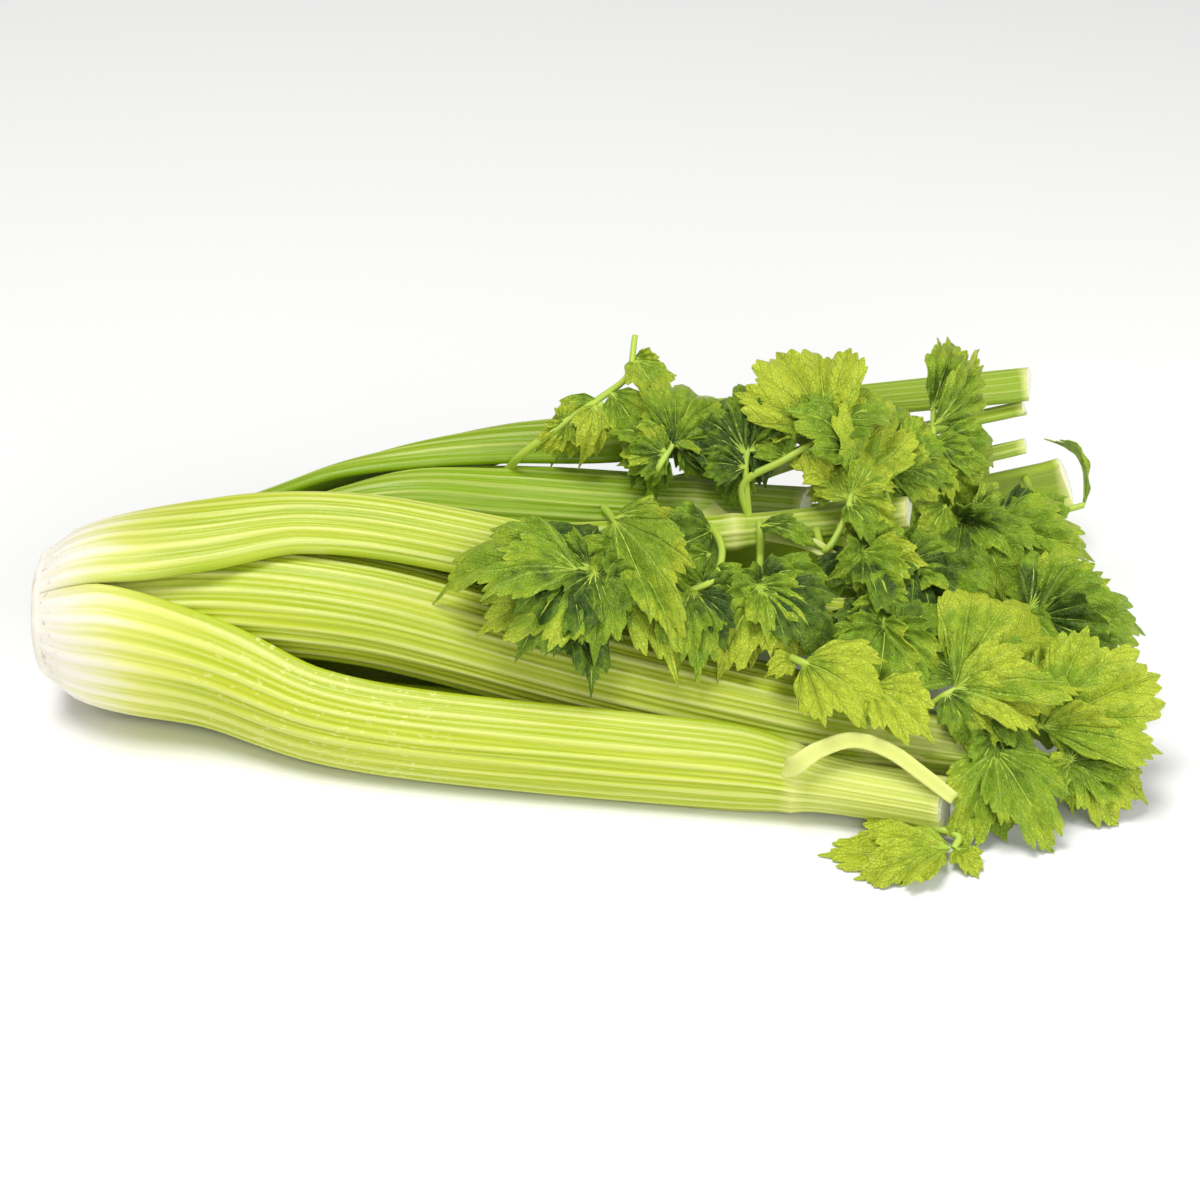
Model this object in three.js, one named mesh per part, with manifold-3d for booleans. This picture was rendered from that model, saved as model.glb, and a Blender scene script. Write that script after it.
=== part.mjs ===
// A head of celery lying on its side: a crown, twelve ribbed stalks and the leafy stems that grow from them.
// Millimetres, Z up, resting on Z = 0. The root cut faces -X and the leaves point to +X.
import * as THREE from "three";
import { mergeVertices } from "three/addons/utils/BufferGeometryUtils.js";
import Module from "manifold-3d";

const wasm = await Module();
wasm.setup();

// Driving dimensions
const AXIS_Z = 36; // height of the head's own axis at the root
const CENTRE_X = 198.4; // from the root cut to the middle of the head, moved to X = 0
const CENTRE_Y = 1; // sideways shift that brings the middle of the head to Y = 0
const GAP = 0.3; // clearance between neighbours
const STALK_GAP = 0.55; // clearance round a stalk, measured from its plain outline without ribs
const RIB_DEPTH = 0.9; // depth of the grooves between the ribs of a stalk
const FREE_ANGLE = 70; // half angle of a stalk's curved back where it is free
const END_ANGLE = 82; // half angle past the joint, where the stalk is nearly round
const WALL = 8.5; // thickness of a stalk in the middle of its back
const EDGE_SHARE = 0.45; // thickness at the edges, as a share of the middle
const BLADE = 0.9; // leaf blade thickness
const STEM_RADIUS = 1.6; // leafy stem
const MIDRIB = 0.5; // how far the midrib stands out on each side of a blade
const SMALL_SIZE = 30; // leaflets shorter than this have fewer teeth
const LEAF_FOLD = 0.25; // how steeply a blade rises from its midrib
const LEAF_WAVE = 0.04; // waviness of its margin, as a share of its length
const SHORTEST_EDGE = 0.04; // slivers left by a cut are taken out below this

// Where the sheaths wrap round the axis: outer radius at three stations, half angle and thickness.
const SHEATH_X = [2, 12, 28];
const SHEATHS = {
  outer: { radius: [24, 31.5, 36.5], angle: 56, wall: 7 },
  second: { radius: [17.5, 23.5, 28.6], angle: 54, wall: 6.6 },
  third: { radius: [11.5, 16.5, 21.2], angle: 52, wall: 6 },
  heart: { radius: [6.5, 10.5, 14.4], angle: 50, wall: 5 },
};

// Each stalk: its sheath and the side it faces there, its widths (wide part, below the joint, above it),
// the joint's place, the number of ribs, and points [x, y, z, facing] along the middle of its back.
// The facing turns from the front (0) over the top (90) to the rear (180).
const STALKS = {
  stalk_01: {
    sheath: "outer",
    side: -8,
    widths: [40, 34, 22],
    joint: 268,
    ribs: 9,
    points: [
      [60, -40, 26, -4],
      [97, -53, 20, 2],
      [133, -61, 18, 5],
      [203, -71, 17, 8],
      [262, -79, 16.5, 10],
      [319, -88, 12, 12],
    ],
    branch: [
      [262, -76, 22],
      [268, -80, 27],
      [276, -78, 32],
      [288, -75, 34],
      [300, -77, 31],
      [311, -82, 25],
      [322, -87, 18],
    ],
  },
  stalk_02: {
    sheath: "second",
    side: 48,
    widths: [41, 35, 26],
    joint: 296,
    ribs: 9,
    points: [
      [60, -19, 59, 42],
      [97, -25, 60, 42],
      [132, -30, 56, 42],
      [203, -42, 41, 43],
      [272, -54, 30, 45],
      [334, -64, 22, 45],
    ],
  },
  stalk_03: {
    sheath: "outer",
    side: 110,
    widths: [36, 32, 22],
    joint: 292,
    ribs: 9,
    points: [
      [60, 6, 79, 97],
      [96, 6, 82, 94],
      [132, 1, 81, 90],
      [203, -12, 71, 84],
      [273, -22, 56, 80],
      [366, -18, 36, 75],
    ],
  },
  stalk_04: {
    sheath: "third",
    side: 155,
    widths: [34, 31, 24],
    joint: 236,
    ribs: 8,
    points: [
      [60, 21, 55, 132],
      [95, 35, 65, 118],
      [129, 38, 73, 97],
      [166, 40, 71, 82],
      [203, 40, 68, 75],
      [279, 39, 62, 70],
    ],
    branch: [
      [238, 34, 62],
      [248, 24, 61],
      [262, 14, 62],
      [276, 6, 63],
      [285, 1, 60],
      [291, -3, 54],
    ],
  },
  stalk_05: {
    sheath: "second",
    side: 187,
    widths: [36, 36, 20],
    joint: 262,
    ribs: 8,
    points: [
      [60, 40, 48, 168],
      [95, 58, 58, 158],
      [130, 66, 69, 136],
      [165, 70, 76, 118],
      [203, 73, 79, 104],
      [280, 88, 80, 92],
      [370, 107, 80, 90],
    ],
  },
  stalk_06: {
    sheath: "outer",
    side: 228,
    widths: [36, 32, 24],
    joint: 300,
    ribs: 8,
    points: [
      [60, 33, 14, 225],
      [95, 47, 10, 213],
      [166, 66, 10, 202],
      [250, 84, 11.5, 195],
      [330, 100, 23, 185],
      [388, 110, 32, 180],
    ],
  },
  stalk_07: {
    sheath: "second",
    side: -75,
    widths: [30, 26, 17],
    joint: 290,
    ribs: 5,
    points: [
      [60, -9, 9, -70],
      [95, -14, 8, -68],
      [166, -26, 8, -65],
      [250, -42, 8, -60],
      [356, -75, 11, -45],
    ],
  },
  stalk_08: {
    sheath: "third",
    side: -60,
    widths: [24, 22, 15],
    joint: 285,
    ribs: 4,
    points: [
      [60, -9, 27, -30],
      [95, -13, 29, -8],
      [166, -13, 33, 8],
      [250, -8, 38, 15],
      [345, 0, 42, 20],
    ],
  },
  stalk_09: {
    sheath: "third",
    side: 50,
    widths: [24, 20, 15],
    joint: 250,
    ribs: 4,
    points: [
      [60, -1, 53, 68],
      [95, 9, 57, 85],
      [166, 15, 62, 90],
      [250, 18, 65, 80],
      [315, 24, 69, 70],
    ],
  },
  stalk_10: {
    sheath: "heart",
    side: 225,
    widths: [20, 20, 14],
    joint: 290,
    ribs: 3,
    points: [
      [60, 7, 24, 232],
      [95, 12, 22, 235],
      [166, 20, 23, 230],
      [250, 26, 22, 225],
      [378, 28, 20, 225],
    ],
  },
  stalk_11: {
    sheath: "heart",
    side: 125,
    widths: [20, 18, 12],
    joint: 270,
    ribs: 4,
    points: [
      [60, 14, 42, 140],
      [95, 26, 39, 160],
      [166, 49, 47, 155],
      [250, 72, 57, 142],
      [368, 104, 68, 120],
    ],
  },
  stalk_12: {
    sheath: "heart",
    side: 20,
    widths: [15, 14, 9],
    joint: 260,
    ribs: 3,
    points: [
      [60, -1, 36, 25],
      [95, 4.5, 35.5, 48],
      [166, 26, 42, 78],
      [250, 52, 50.5, 92],
      [366, 80, 64, 90],
    ],
  },
};

// Each leafy stem: points along it from the stalk it grows from, and its leaflets, each with its foot,
// tip, width as a share of its length, the way its face looks, and how far it arches.
const LEAFY_STEMS = {
  leafy_stem_01: {
    stem: [
      [212, -6, 60],
      [212, -18, 71],
      [203, -22, 70],
      [194, -32, 75],
    ],
    leaves: [
      { foot: [194, -32, 75], tip: [145, -30, 78], width: 0.72, face: [0, -0.35, 0.93], arch: 0.12 },
      { foot: [199, -30, 72], tip: [161, -49, 65], width: 0.85, face: [0, -0.6, 0.8], arch: 0.12 },
      { foot: [200, -28, 72], tip: [200, -53, 59], width: 0.95, face: [0.1, -0.7, 0.6], arch: 0.12 },
    ],
  },
  leafy_stem_02: {
    stem: [
      [204, 27, 64],
      [206, 14, 69],
      [208, 1, 73],
    ],
    leaves: [
      { foot: [207, 2, 74], tip: [228, -53, 55], width: 0.55, face: [-0.1, -0.6, 0.8], arch: 0.15 },
      { foot: [208, 1, 73], tip: [222, -24, 69], width: 0.7, face: [0.2, -0.8, 0.5], arch: 0.12 },
      { foot: [207, 6, 73], tip: [236, 2, 74], width: 0.8, face: [0.1, -0.7, 0.7], arch: 0.12 },
    ],
  },
  leafy_stem_03: {
    stem: [
      [238, 19, 62],
      [242, 8, 68],
      [245, -10, 69],
      [241, -26, 67],
      [232, -30, 65],
    ],
    leaves: [
      { foot: [242, 6, 68], tip: [220, -16, 71], width: 0.78, face: [0.1, -0.8, 0.5], arch: 0.12 },
      { foot: [232, -30, 65], tip: [224, -37, 52], width: 0.91, face: [0.1, -0.9, 0.3], arch: 0.12 },
      { foot: [234, -29, 65], tip: [236, -53, 48], width: 0.65, face: [0.1, -0.8, 0.5], arch: 0.12 },
    ],
  },
  leafy_stem_04: {
    stem: [
      [260, 23, 61],
      [260, 13, 65],
      [260, 8, 54],
      [258, -23, 61],
    ],
    leaves: [
      { foot: [258, -21, 61], tip: [255, -41, 44], width: 0.95, face: [0, -0.9, 0.45], arch: 0.12 },
      { foot: [258, -20, 61], tip: [241, -36, 58], width: 0.78, face: [-0.2, -0.9, 0.4], arch: 0.12 },
      { foot: [258, -20, 61], tip: [279, -28, 56], width: 0.78, face: [0.3, -0.9, 0.4], arch: 0.12 },
      { foot: [260, 12, 66], tip: [281, 2, 67], width: 0.8, face: [0.2, -0.8, 0.5], arch: 0.12 },
    ],
  },
  leafy_stem_05: {
    stem: [
      [264, -34, 43],
      [272, -49, 48],
      [297, -57, 42],
    ],
    leaves: [
      { foot: [272, -49, 48], tip: [300, -70, 43], width: 0.95, face: [0.1, -0.6, 0.8], arch: 0.12 },
      { foot: [295, -58, 43], tip: [315, -75, 40], width: 0.95, face: [0.2, -0.6, 0.8], arch: 0.12 },
      { foot: [269, -45, 47], tip: [259, -50, 46], width: 0.91, face: [0.1, -0.6, 0.8], arch: 0.12 },
    ],
  },
  leafy_stem_06: {
    stem: [
      [297, -13, 49],
      [301, -5, 54],
      [302, -17, 51],
      [302, -29, 49],
    ],
    leaves: [
      { foot: [302, -29, 50], tip: [296, -59, 41], width: 0.95, face: [0, -0.9, 0.4], arch: 0.12 },
      { foot: [302, -29, 49], tip: [278, -42, 46], width: 0.78, face: [-0.1, -0.9, 0.4], arch: 0.12 },
      { foot: [302, -29, 49], tip: [322, -46, 43], width: 0.78, face: [0.1, -0.9, 0.4], arch: 0.12 },
    ],
  },
  leafy_stem_07: {
    stem: [
      [310, 19, 61],
      [312, 9, 55],
      [313, 3, 54],
    ],
    leaves: [
      { foot: [313, 3, 54], tip: [337, -35, 45], width: 0.8, face: [0.2, -0.8, 0.5], arch: 0.12 },
      { foot: [313, 3, 54], tip: [302, -32, 49], width: 0.8, face: [0, -0.8, 0.5], arch: 0.12 },
    ],
  },
  leafy_stem_08: {
    stem: [
      [314, -50, 28],
      [321, -52, 36],
      [325, -51, 38],
    ],
    leaves: [
      { foot: [325, -50, 38], tip: [366, -15, 48], width: 0.95, face: [0, -0.5, 0.87], arch: 0.12 },
      { foot: [325, -51, 38], tip: [365, -46, 40], width: 0.72, face: [0, -0.6, 0.8], arch: 0.12 },
    ],
  },
  leafy_stem_09: {
    stem: [
      [337, -48, 23],
      [342, -44, 32],
      [348, -49, 30],
      [355, -57, 26],
    ],
    leaves: [
      { foot: [355, -57, 26], tip: [398, -36, 37], width: 0.95, face: [0.1, -0.7, 0.7], arch: 0.12 },
      { foot: [353, -53, 27], tip: [380, -25, 38], width: 0.78, face: [0.1, -0.7, 0.7], arch: 0.12 },
    ],
  },
  leafy_stem_10: {
    stem: [
      [342, 0, 42],
      [351, -8, 42],
      [358, -12, 42],
    ],
    leaves: [
      { foot: [358, -11, 42], tip: [387, 4, 52], width: 0.95, face: [0.1, -0.7, 0.7], arch: 0.12 },
      { foot: [358, -12, 42], tip: [399, -9, 46], width: 0.78, face: [0.1, -0.7, 0.7], arch: 0.12 },
      { foot: [354, -9, 42], tip: [368, -29, 40], width: 0.85, face: [0.1, -0.7, 0.7], arch: 0.12 },
    ],
  },
  leafy_stem_11: {
    stem: [
      [337, -48, 23],
      [343, -41, 30],
      [339, -55, 26],
      [338, -66, 22],
    ],
    leaves: [
      { foot: [338, -65, 22], tip: [356, -96, 3], width: 0.62, face: [0.3, -0.9, 0.2], arch: 0.15 },
      { foot: [338, -66, 22], tip: [324, -95, 4], width: 0.62, face: [-0.2, -0.9, 0.3], arch: 0.12 },
    ],
  },
  leafy_stem_12: {
    stem: [
      [345, -69, 15],
      [345, -62, 22],
      [357, -65, 19],
      [368, -66, 16],
    ],
    leaves: [
      { foot: [366, -66, 17], tip: [391, -59, 22], width: 0.78, face: [0.1, -0.7, 0.7], arch: 0.12 },
      { foot: [368, -66, 16], tip: [381, -80, 4], width: 0.85, face: [0.3, -0.8, 0.5], arch: 0.12 },
      { foot: [362, -66, 18], tip: [365, -78, 9], width: 0.85, face: [0.1, -0.8, 0.5], arch: 0.12 },
    ],
  },
  leafy_stem_13: {
    stem: [
      [317, -87, 5],
      [324, -91, 5],
      [322, -95, 3],
    ],
    leaves: [
      { foot: [321, -95, 3], tip: [277, -96, 2], width: 0.65, face: [0, 0, 1], arch: 0.06 },
      { foot: [319, -96, 3], tip: [288, -109, 2], width: 0.72, face: [0, -0.1, 1], arch: 0.08 },
      { foot: [323, -95, 3], tip: [329, -108, 2], width: 0.8, face: [0, -0.1, 1], arch: 0.1 },
    ],
  },
  leafy_stem_14: {
    stem: [
      [169, 46, 72],
      [173, 42, 79],
      [188, 45, 90],
      [202, 56, 95],
      [212, 66, 99],
      [215, 81, 108],
    ],
    leaves: [
      { foot: [190, 46, 91], tip: [197, 41, 85], width: 0.91, face: [0, -0.85, 0.5], arch: 0.12 },
      { foot: [188, 45, 90], tip: [191, 53, 95], width: 0.91, face: [0, -0.85, 0.5], arch: 0.12 },
      { foot: [214, 73, 102], tip: [226, 49, 90], width: 0.65, face: [0.5, -0.8, 0.2], arch: 0.12 },
      { foot: [215, 75, 102], tip: [226, 72, 101], width: 0.78, face: [0.2, -0.8, 0.4], arch: 0.12 },
    ],
  },
  leafy_stem_15: {
    stem: [
      [220, 36, 65],
      [223, 29, 80],
      [226, 33, 84],
      [229, 37, 87],
    ],
    leaves: [
      { foot: [229, 37, 87], tip: [240, 65, 100], width: 0.95, face: [-0.1, -0.8, 0.5], arch: 0.12 },
      { foot: [226, 33, 85], tip: [214, 43, 91], width: 0.85, face: [-0.2, -0.8, 0.5], arch: 0.12 },
      { foot: [229, 36, 86], tip: [249, 46, 91], width: 0.91, face: [0.2, -0.8, 0.5], arch: 0.12 },
      { foot: [226, 33, 84], tip: [208, 34, 81], width: 0.8, face: [-0.2, -0.8, 0.5], arch: 0.12 },
    ],
  },
  leafy_stem_16: {
    stem: [
      [256, 23, 66],
      [255, 26, 78],
      [255, 29, 84],
      [256, 32, 88],
    ],
    leaves: [
      { foot: [256, 32, 88], tip: [272, 64, 104], width: 0.65, face: [-0.3, -0.8, 0.4], arch: 0.12 },
      { foot: [255, 30, 86], tip: [238, 52, 97], width: 0.7, face: [-0.2, -0.8, 0.4], arch: 0.12 },
      { foot: [256, 30, 87], tip: [270, 42, 92], width: 0.7, face: [0.1, -0.8, 0.4], arch: 0.12 },
      { foot: [255, 27, 82], tip: [238, 33, 83], width: 0.8, face: [-0.2, -0.8, 0.5], arch: 0.12 },
    ],
  },
  leafy_stem_17: {
    stem: [
      [256, 23, 66],
      [254, 25, 76],
      [268, 25, 86],
      [285, 32, 93],
    ],
    leaves: [
      { foot: [285, 31, 93], tip: [268, 67, 113], width: 0.95, face: [0.1, -0.9, 0.3], arch: 0.12 },
      { foot: [283, 31, 92], tip: [295, 54, 105], width: 0.78, face: [0.3, -0.9, 0.2], arch: 0.12 },
    ],
  },
  leafy_stem_18: {
    stem: [
      [281, 17, 62],
      [283, 2, 62],
      [290, 10, 70],
      [293, 18, 78],
    ],
    leaves: [
      { foot: [293, 18, 78], tip: [300, 61, 102], width: 0.65, face: [0.4, -0.8, 0.2], arch: 0.12 },
      { foot: [292, 16, 75], tip: [278, 29, 85], width: 0.65, face: [0, -0.8, 0.4], arch: 0.12 },
      { foot: [293, 17, 76], tip: [310, 6, 71], width: 0.7, face: [0, -0.8, 0.4], arch: 0.12 },
    ],
  },
  leafy_stem_19: {
    stem: [
      [308, 24, 67],
      [306, 30, 72],
      [306, 36, 76],
    ],
    leaves: [
      { foot: [306, 36, 76], tip: [314, 67, 92], width: 0.95, face: [0.1, -0.9, 0.4], arch: 0.12 },
      { foot: [306, 36, 76], tip: [322, 48, 84], width: 0.8, face: [0.2, -0.8, 0.5], arch: 0.12 },
    ],
  },
  leafy_stem_20: {
    stem: [
      [315, 33, 66],
      [327, 45, 66],
      [326, 51, 80],
      [326, 57, 90],
    ],
    leaves: [
      { foot: [325, 56, 90], tip: [337, 89, 112], width: 0.55, face: [0.2, -0.9, 0.1], arch: 0.12 },
      { foot: [326, 52, 86], tip: [344, 82, 104], width: 0.52, face: [0.4, -0.8, 0.1], arch: 0.12 },
      { foot: [326, 49, 79], tip: [342, 51, 80], width: 0.7, face: [0.3, -0.8, 0.4], arch: 0.12 },
      { foot: [326, 47, 73], tip: [333, 32, 66], width: 0.6, face: [0.3, -0.8, 0.4], arch: 0.12 },
    ],
  },
  leafy_stem_21: {
    stem: [
      [371, 97, 37],
      [373, 69, 40],
      [381, 64, 42],
      [388, 64, 44],
    ],
    leaves: [
      { foot: [388, 64, 44], tip: [381, 94, 60], width: 0.3, face: [0.9, -0.4, 0.1], arch: 0.12 },
    ],
  },
  leafy_stem_22: {
    stem: [
      [289, 18, 63],
      [294, 2, 64],
      [298, -5, 60],
    ],
    leaves: [
      { foot: [295, -1, 63], tip: [311, -21, 56], width: 0.78, face: [0.2, -0.8, 0.4], arch: 0.12 },
      { foot: [294, 2, 64], tip: [315, 7, 64], width: 0.78, face: [0.1, -0.8, 0.4], arch: 0.12 },
      { foot: [298, -5, 60], tip: [298, -19, 53], width: 0.91, face: [0.1, -0.8, 0.4], arch: 0.12 },
    ],
  },
  leafy_stem_23: {
    stem: [
      [315, 33, 66],
      [324, 37, 62],
      [335, 31, 58],
      [346, 28, 54],
    ],
    leaves: [
      { foot: [346, 28, 54], tip: [384, 22, 52], width: 0.78, face: [0.1, -0.7, 0.7], arch: 0.12 },
      { foot: [340, 30, 56], tip: [366, 37, 61], width: 0.65, face: [0.1, -0.7, 0.7], arch: 0.12 },
      { foot: [336, 30, 57], tip: [353, -1, 47], width: 0.95, face: [0.2, -0.7, 0.6], arch: 0.12 },
    ],
  },
};

const CROWN_LOOK = { color: "#efe8c8", roughness: 0.6, metalness: 0 };
const STALK_LOOK = { color: "#c3d64f", roughness: 0.42, metalness: 0 };
const LEAF_LOOK = { color: "#6f9f2c", roughness: 0.5, metalness: 0 };

const radians = THREE.MathUtils.degToRad;
const vector = (p) => new THREE.Vector3(p[0], p[1], p[2]);

// A smooth curve through keys [x, value, ...], with the slope of its neighbours at each key.
function smooth(keys, x) {
  const last = keys.length - 1;
  let i = 0;
  while (i < last - 1 && x > keys[i + 1][0]) i += 1;
  const slope = (n, c) => {
    const a = keys[Math.max(n - 1, 0)];
    const b = keys[Math.min(n + 1, last)];
    return (b[c] - a[c]) / (b[0] - a[0]);
  };
  const h = keys[i + 1][0] - keys[i][0];
  const u = (x - keys[i][0]) / h;
  const values = [];
  for (let c = 1; c < keys[0].length; c += 1) {
    const start = (2 * u ** 3 - 3 * u ** 2 + 1) * keys[i][c];
    const end = (3 * u ** 2 - 2 * u ** 3) * keys[i + 1][c];
    const leave = (u ** 3 - 2 * u ** 2 + u) * h * slope(i, c);
    const arrive = (u ** 3 - u ** 2) * h * slope(i + 1, c);
    values.push(start + end + leave + arrive);
  }
  return values;
}

// The keys of a stalk's path, radius, half angle and wall along x.
function stalkKeys(stalk) {
  const sheath = SHEATHS[stalk.sheath];
  const side = radians(stalk.side);
  const [wide, low, high] = stalk.widths;
  const end = stalk.points.at(-1)[0];
  const below = stalk.joint - 22;
  const above = stalk.joint + 10;
  const free = Math.sin(radians(FREE_ANGLE)) * 2;
  const round = Math.sin(radians(END_ANGLE)) * 2;
  const path = SHEATH_X.map((x, i) => {
    const r = sheath.radius[i];
    return [x, -r * Math.cos(side), AXIS_Z + r * Math.sin(side), stalk.side];
  });
  const radius = SHEATH_X.map((x, i) => [x, sheath.radius[i]]);
  const angle = SHEATH_X.map((x) => [x, sheath.angle]);
  const wall = SHEATH_X.map((x, i) => [x, i === 0 ? sheath.wall * 0.8 : sheath.wall]);
  path.push(...stalk.points);
  radius.push([60, 0.45 * sheath.radius[2] + (0.55 * wide) / free]);
  radius.push([97, wide / free], [below, low / free]);
  radius.push([above, high / round], [end, (0.94 * high) / round]);
  angle.push([60, (sheath.angle + FREE_ANGLE) / 2], [97, FREE_ANGLE], [below, FREE_ANGLE]);
  angle.push([above, END_ANGLE], [end, END_ANGLE]);
  wall.push([97, WALL], [below, WALL], [above, 0.42 * high], [end, 0.4 * high]);
  return { path, radius, angle, wall, end, below, above };
}

// One closed outline of a stalk: the back, ribbed unless grown for a neighbour, then the hollow front.
function stalkOutline(stalk, keys, x, grow) {
  const [y, z, facing] = smooth(keys.path, x);
  const ahead = smooth(keys.path, x + 0.5);
  const behind = smooth(keys.path, x - 0.5);
  const blend = THREE.MathUtils.smoothstep(x, 20, 80);
  const along = new THREE.Vector3(1, ahead[0] - behind[0], ahead[1] - behind[1]).normalize();
  along.multiplyScalar(blend).add(new THREE.Vector3(1 - blend, 0, 0)).normalize();
  const out = new THREE.Vector3(0, -Math.cos(radians(facing)), Math.sin(radians(facing)));
  out.addScaledVector(along, -out.dot(along)).normalize();
  const across = new THREE.Vector3().crossVectors(along, out);
  const r = smooth(keys.radius, x)[0];
  const half = radians(smooth(keys.angle, x)[0]);
  const wall = smooth(keys.wall, x)[0];
  const centre = new THREE.Vector3(x, y, z).addScaledVector(out, -r);
  const spread = half + grow / r;
  const at = (a, distance) => {
    const p = centre.clone().addScaledVector(out, Math.cos(a) * distance);
    return p.addScaledVector(across, Math.sin(a) * distance);
  };
  const outline = [];
  const backs = grow > 0 ? 8 : 2 * stalk.ribs;
  const depth = grow > 0 ? 0 : RIB_DEPTH;
  for (let i = 0; i <= backs; i += 1) {
    const q = (2 * i) / backs - 1;
    const rib = (depth * (Math.cos(q * Math.PI * stalk.ribs) - 1)) / 2;
    outline.push(at(q * spread, r + rib + grow));
  }
  for (let i = 0; i <= 4; i += 1) {
    const q = 1 - i / 2;
    const inward = wall * (1 - (1 - EDGE_SHARE) * Math.abs(q) ** 3) + grow;
    outline.push(at(q * (half * 0.97 + grow / r), r - inward));
  }
  return { outline, along, out, across, centre };
}

// A manifold body from points and triangles, facing out.
function solid(points, triangles) {
  const geometry = new THREE.BufferGeometry().setFromPoints(points);
  geometry.setIndex(triangles);
  const merged = mergeVertices(geometry, 1e-5);
  const vertProperties = merged.attributes.position.array;
  const triVerts = new Uint32Array(merged.index.array);
  const body = new wasm.Manifold(new wasm.Mesh({ numProp: 3, vertProperties, triVerts }));
  if (body.volume() > 0) return body;
  return solid(points, triangles.toReversed());
}

function stalkBody(stalk, grow) {
  const keys = stalkKeys(stalk);
  const { below, above, end } = keys;
  const step = (below - 97) / 3;
  const stations = [2, 12, 28, 60, 97, 97 + step, 97 + 2 * step, below, above, end];
  const rings = stations.map((x) => stalkOutline(stalk, keys, x, grow));
  rings[0].outline.forEach((p) => p.addScaledVector(rings[0].along, -grow));
  rings.at(-1).outline.forEach((p) => p.addScaledVector(rings.at(-1).along, grow));
  const count = rings[0].outline.length;
  const points = rings.flatMap((ring) => ring.outline);
  const triangles = [];
  for (let i = 0; i < rings.length - 1; i += 1) {
    for (let j = 0; j < count; j += 1) {
      const a = i * count + j;
      const b = i * count + ((j + 1) % count);
      triangles.push(a, a + count, b, b, a + count, b + count);
    }
  }
  for (const ring of [0, rings.length - 1]) {
    const { outline, out, across, centre } = rings[ring];
    const flat = outline.map((p) => {
      const d = p.clone().sub(centre);
      return new THREE.Vector2(d.dot(out), d.dot(across));
    });
    for (const [a, b, c] of THREE.ShapeUtils.triangulateShape(flat, [])) {
      const o = ring * count;
      if (ring === 0) triangles.push(o + a, o + b, o + c);
      else triangles.push(o + a, o + c, o + b);
    }
  }
  let body = solid(points, triangles);
  if (stalk.branch) body = body.add(tube(stalk.branch.map(vector), 2.4 + grow, 1.8 + grow, 6));
  return body;
}

// A closed tube along points, narrowing from one radius to the other.
function tube(points, startRadius, endRadius, sides) {
  const count = points.length;
  const ring = [];
  points.forEach((p, i) => {
    const along = points[Math.min(i + 1, count - 1)].clone().sub(points[Math.max(i - 1, 0)]);
    const side = new THREE.Vector3(0.13, 0.21, 0.97).cross(along.normalize()).normalize();
    const up = new THREE.Vector3().crossVectors(along, side);
    const r = THREE.MathUtils.lerp(startRadius, endRadius, i / (count - 1));
    for (let k = 0; k < sides; k += 1) {
      const a = (2 * Math.PI * k) / sides;
      const q = p.clone().addScaledVector(side, Math.cos(a) * r);
      ring.push(q.addScaledVector(up, Math.sin(a) * r));
    }
  });
  const triangles = [];
  for (let i = 0; i < count - 1; i += 1) {
    for (let k = 0; k < sides; k += 1) {
      const a = i * sides + k;
      const b = i * sides + ((k + 1) % sides);
      triangles.push(a, b, a + sides, b, b + sides, a + sides);
    }
  }
  const last = (count - 1) * sides;
  for (let k = 1; k < sides - 1; k += 1) {
    triangles.push(0, k + 1, k);
    triangles.push(last, last + k, last + k + 1);
  }
  return solid(ring, triangles);
}

// Half outlines of a large and a small leaflet about the foot: angle from the midrib, and reach as a
// share of the length. Three lobes with teeth, and a wedge at the foot.
const LARGE_HALF = [
  [9, 0.83],
  [17, 0.93],
  [28, 0.66],
  [40, 0.82],
  [50, 0.66],
  [58, 0.66],
  [70, 0.3],
];
const SMALL_HALF = [
  [12, 0.76],
  [24, 0.86],
  [36, 0.62],
  [52, 0.7],
  [68, 0.32],
];
const wholeOutline = (half) => [
  ...half.map(([angle, reach]) => [-angle, reach]).reverse(),
  [0, 1],
  ...half,
];
const LARGE_OUTLINE = wholeOutline(LARGE_HALF);
const SMALL_OUTLINE = wholeOutline(SMALL_HALF);

// The place on a leaflet's blade, a along the midrib and b to the side.
function bladeFrame(leaf, index) {
  const foot = vector(leaf.foot);
  const reach = vector(leaf.tip).sub(foot);
  const size = reach.length();
  const ahead = reach.clone().normalize();
  const face = vector(leaf.face);
  face.addScaledVector(ahead, -face.dot(ahead)).normalize();
  const side = new THREE.Vector3().crossVectors(face, ahead);
  return (a, b, lift) => {
    const u = a / size;
    const far = Math.hypot(a, b) / size;
    const arch = leaf.arch * size * 4 * u * (1 - u);
    const fold = LEAF_FOLD * Math.abs(b) * (1 - (0.5 * Math.abs(b)) / size);
    const wave = LEAF_WAVE * size * Math.sin(5 * Math.atan2(b, a) + 1.3 * index) * far * far;
    const p = foot.clone().addScaledVector(ahead, a).addScaledVector(side, b);
    return p.addScaledVector(face, arch + fold + wave + lift);
  };
}

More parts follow.
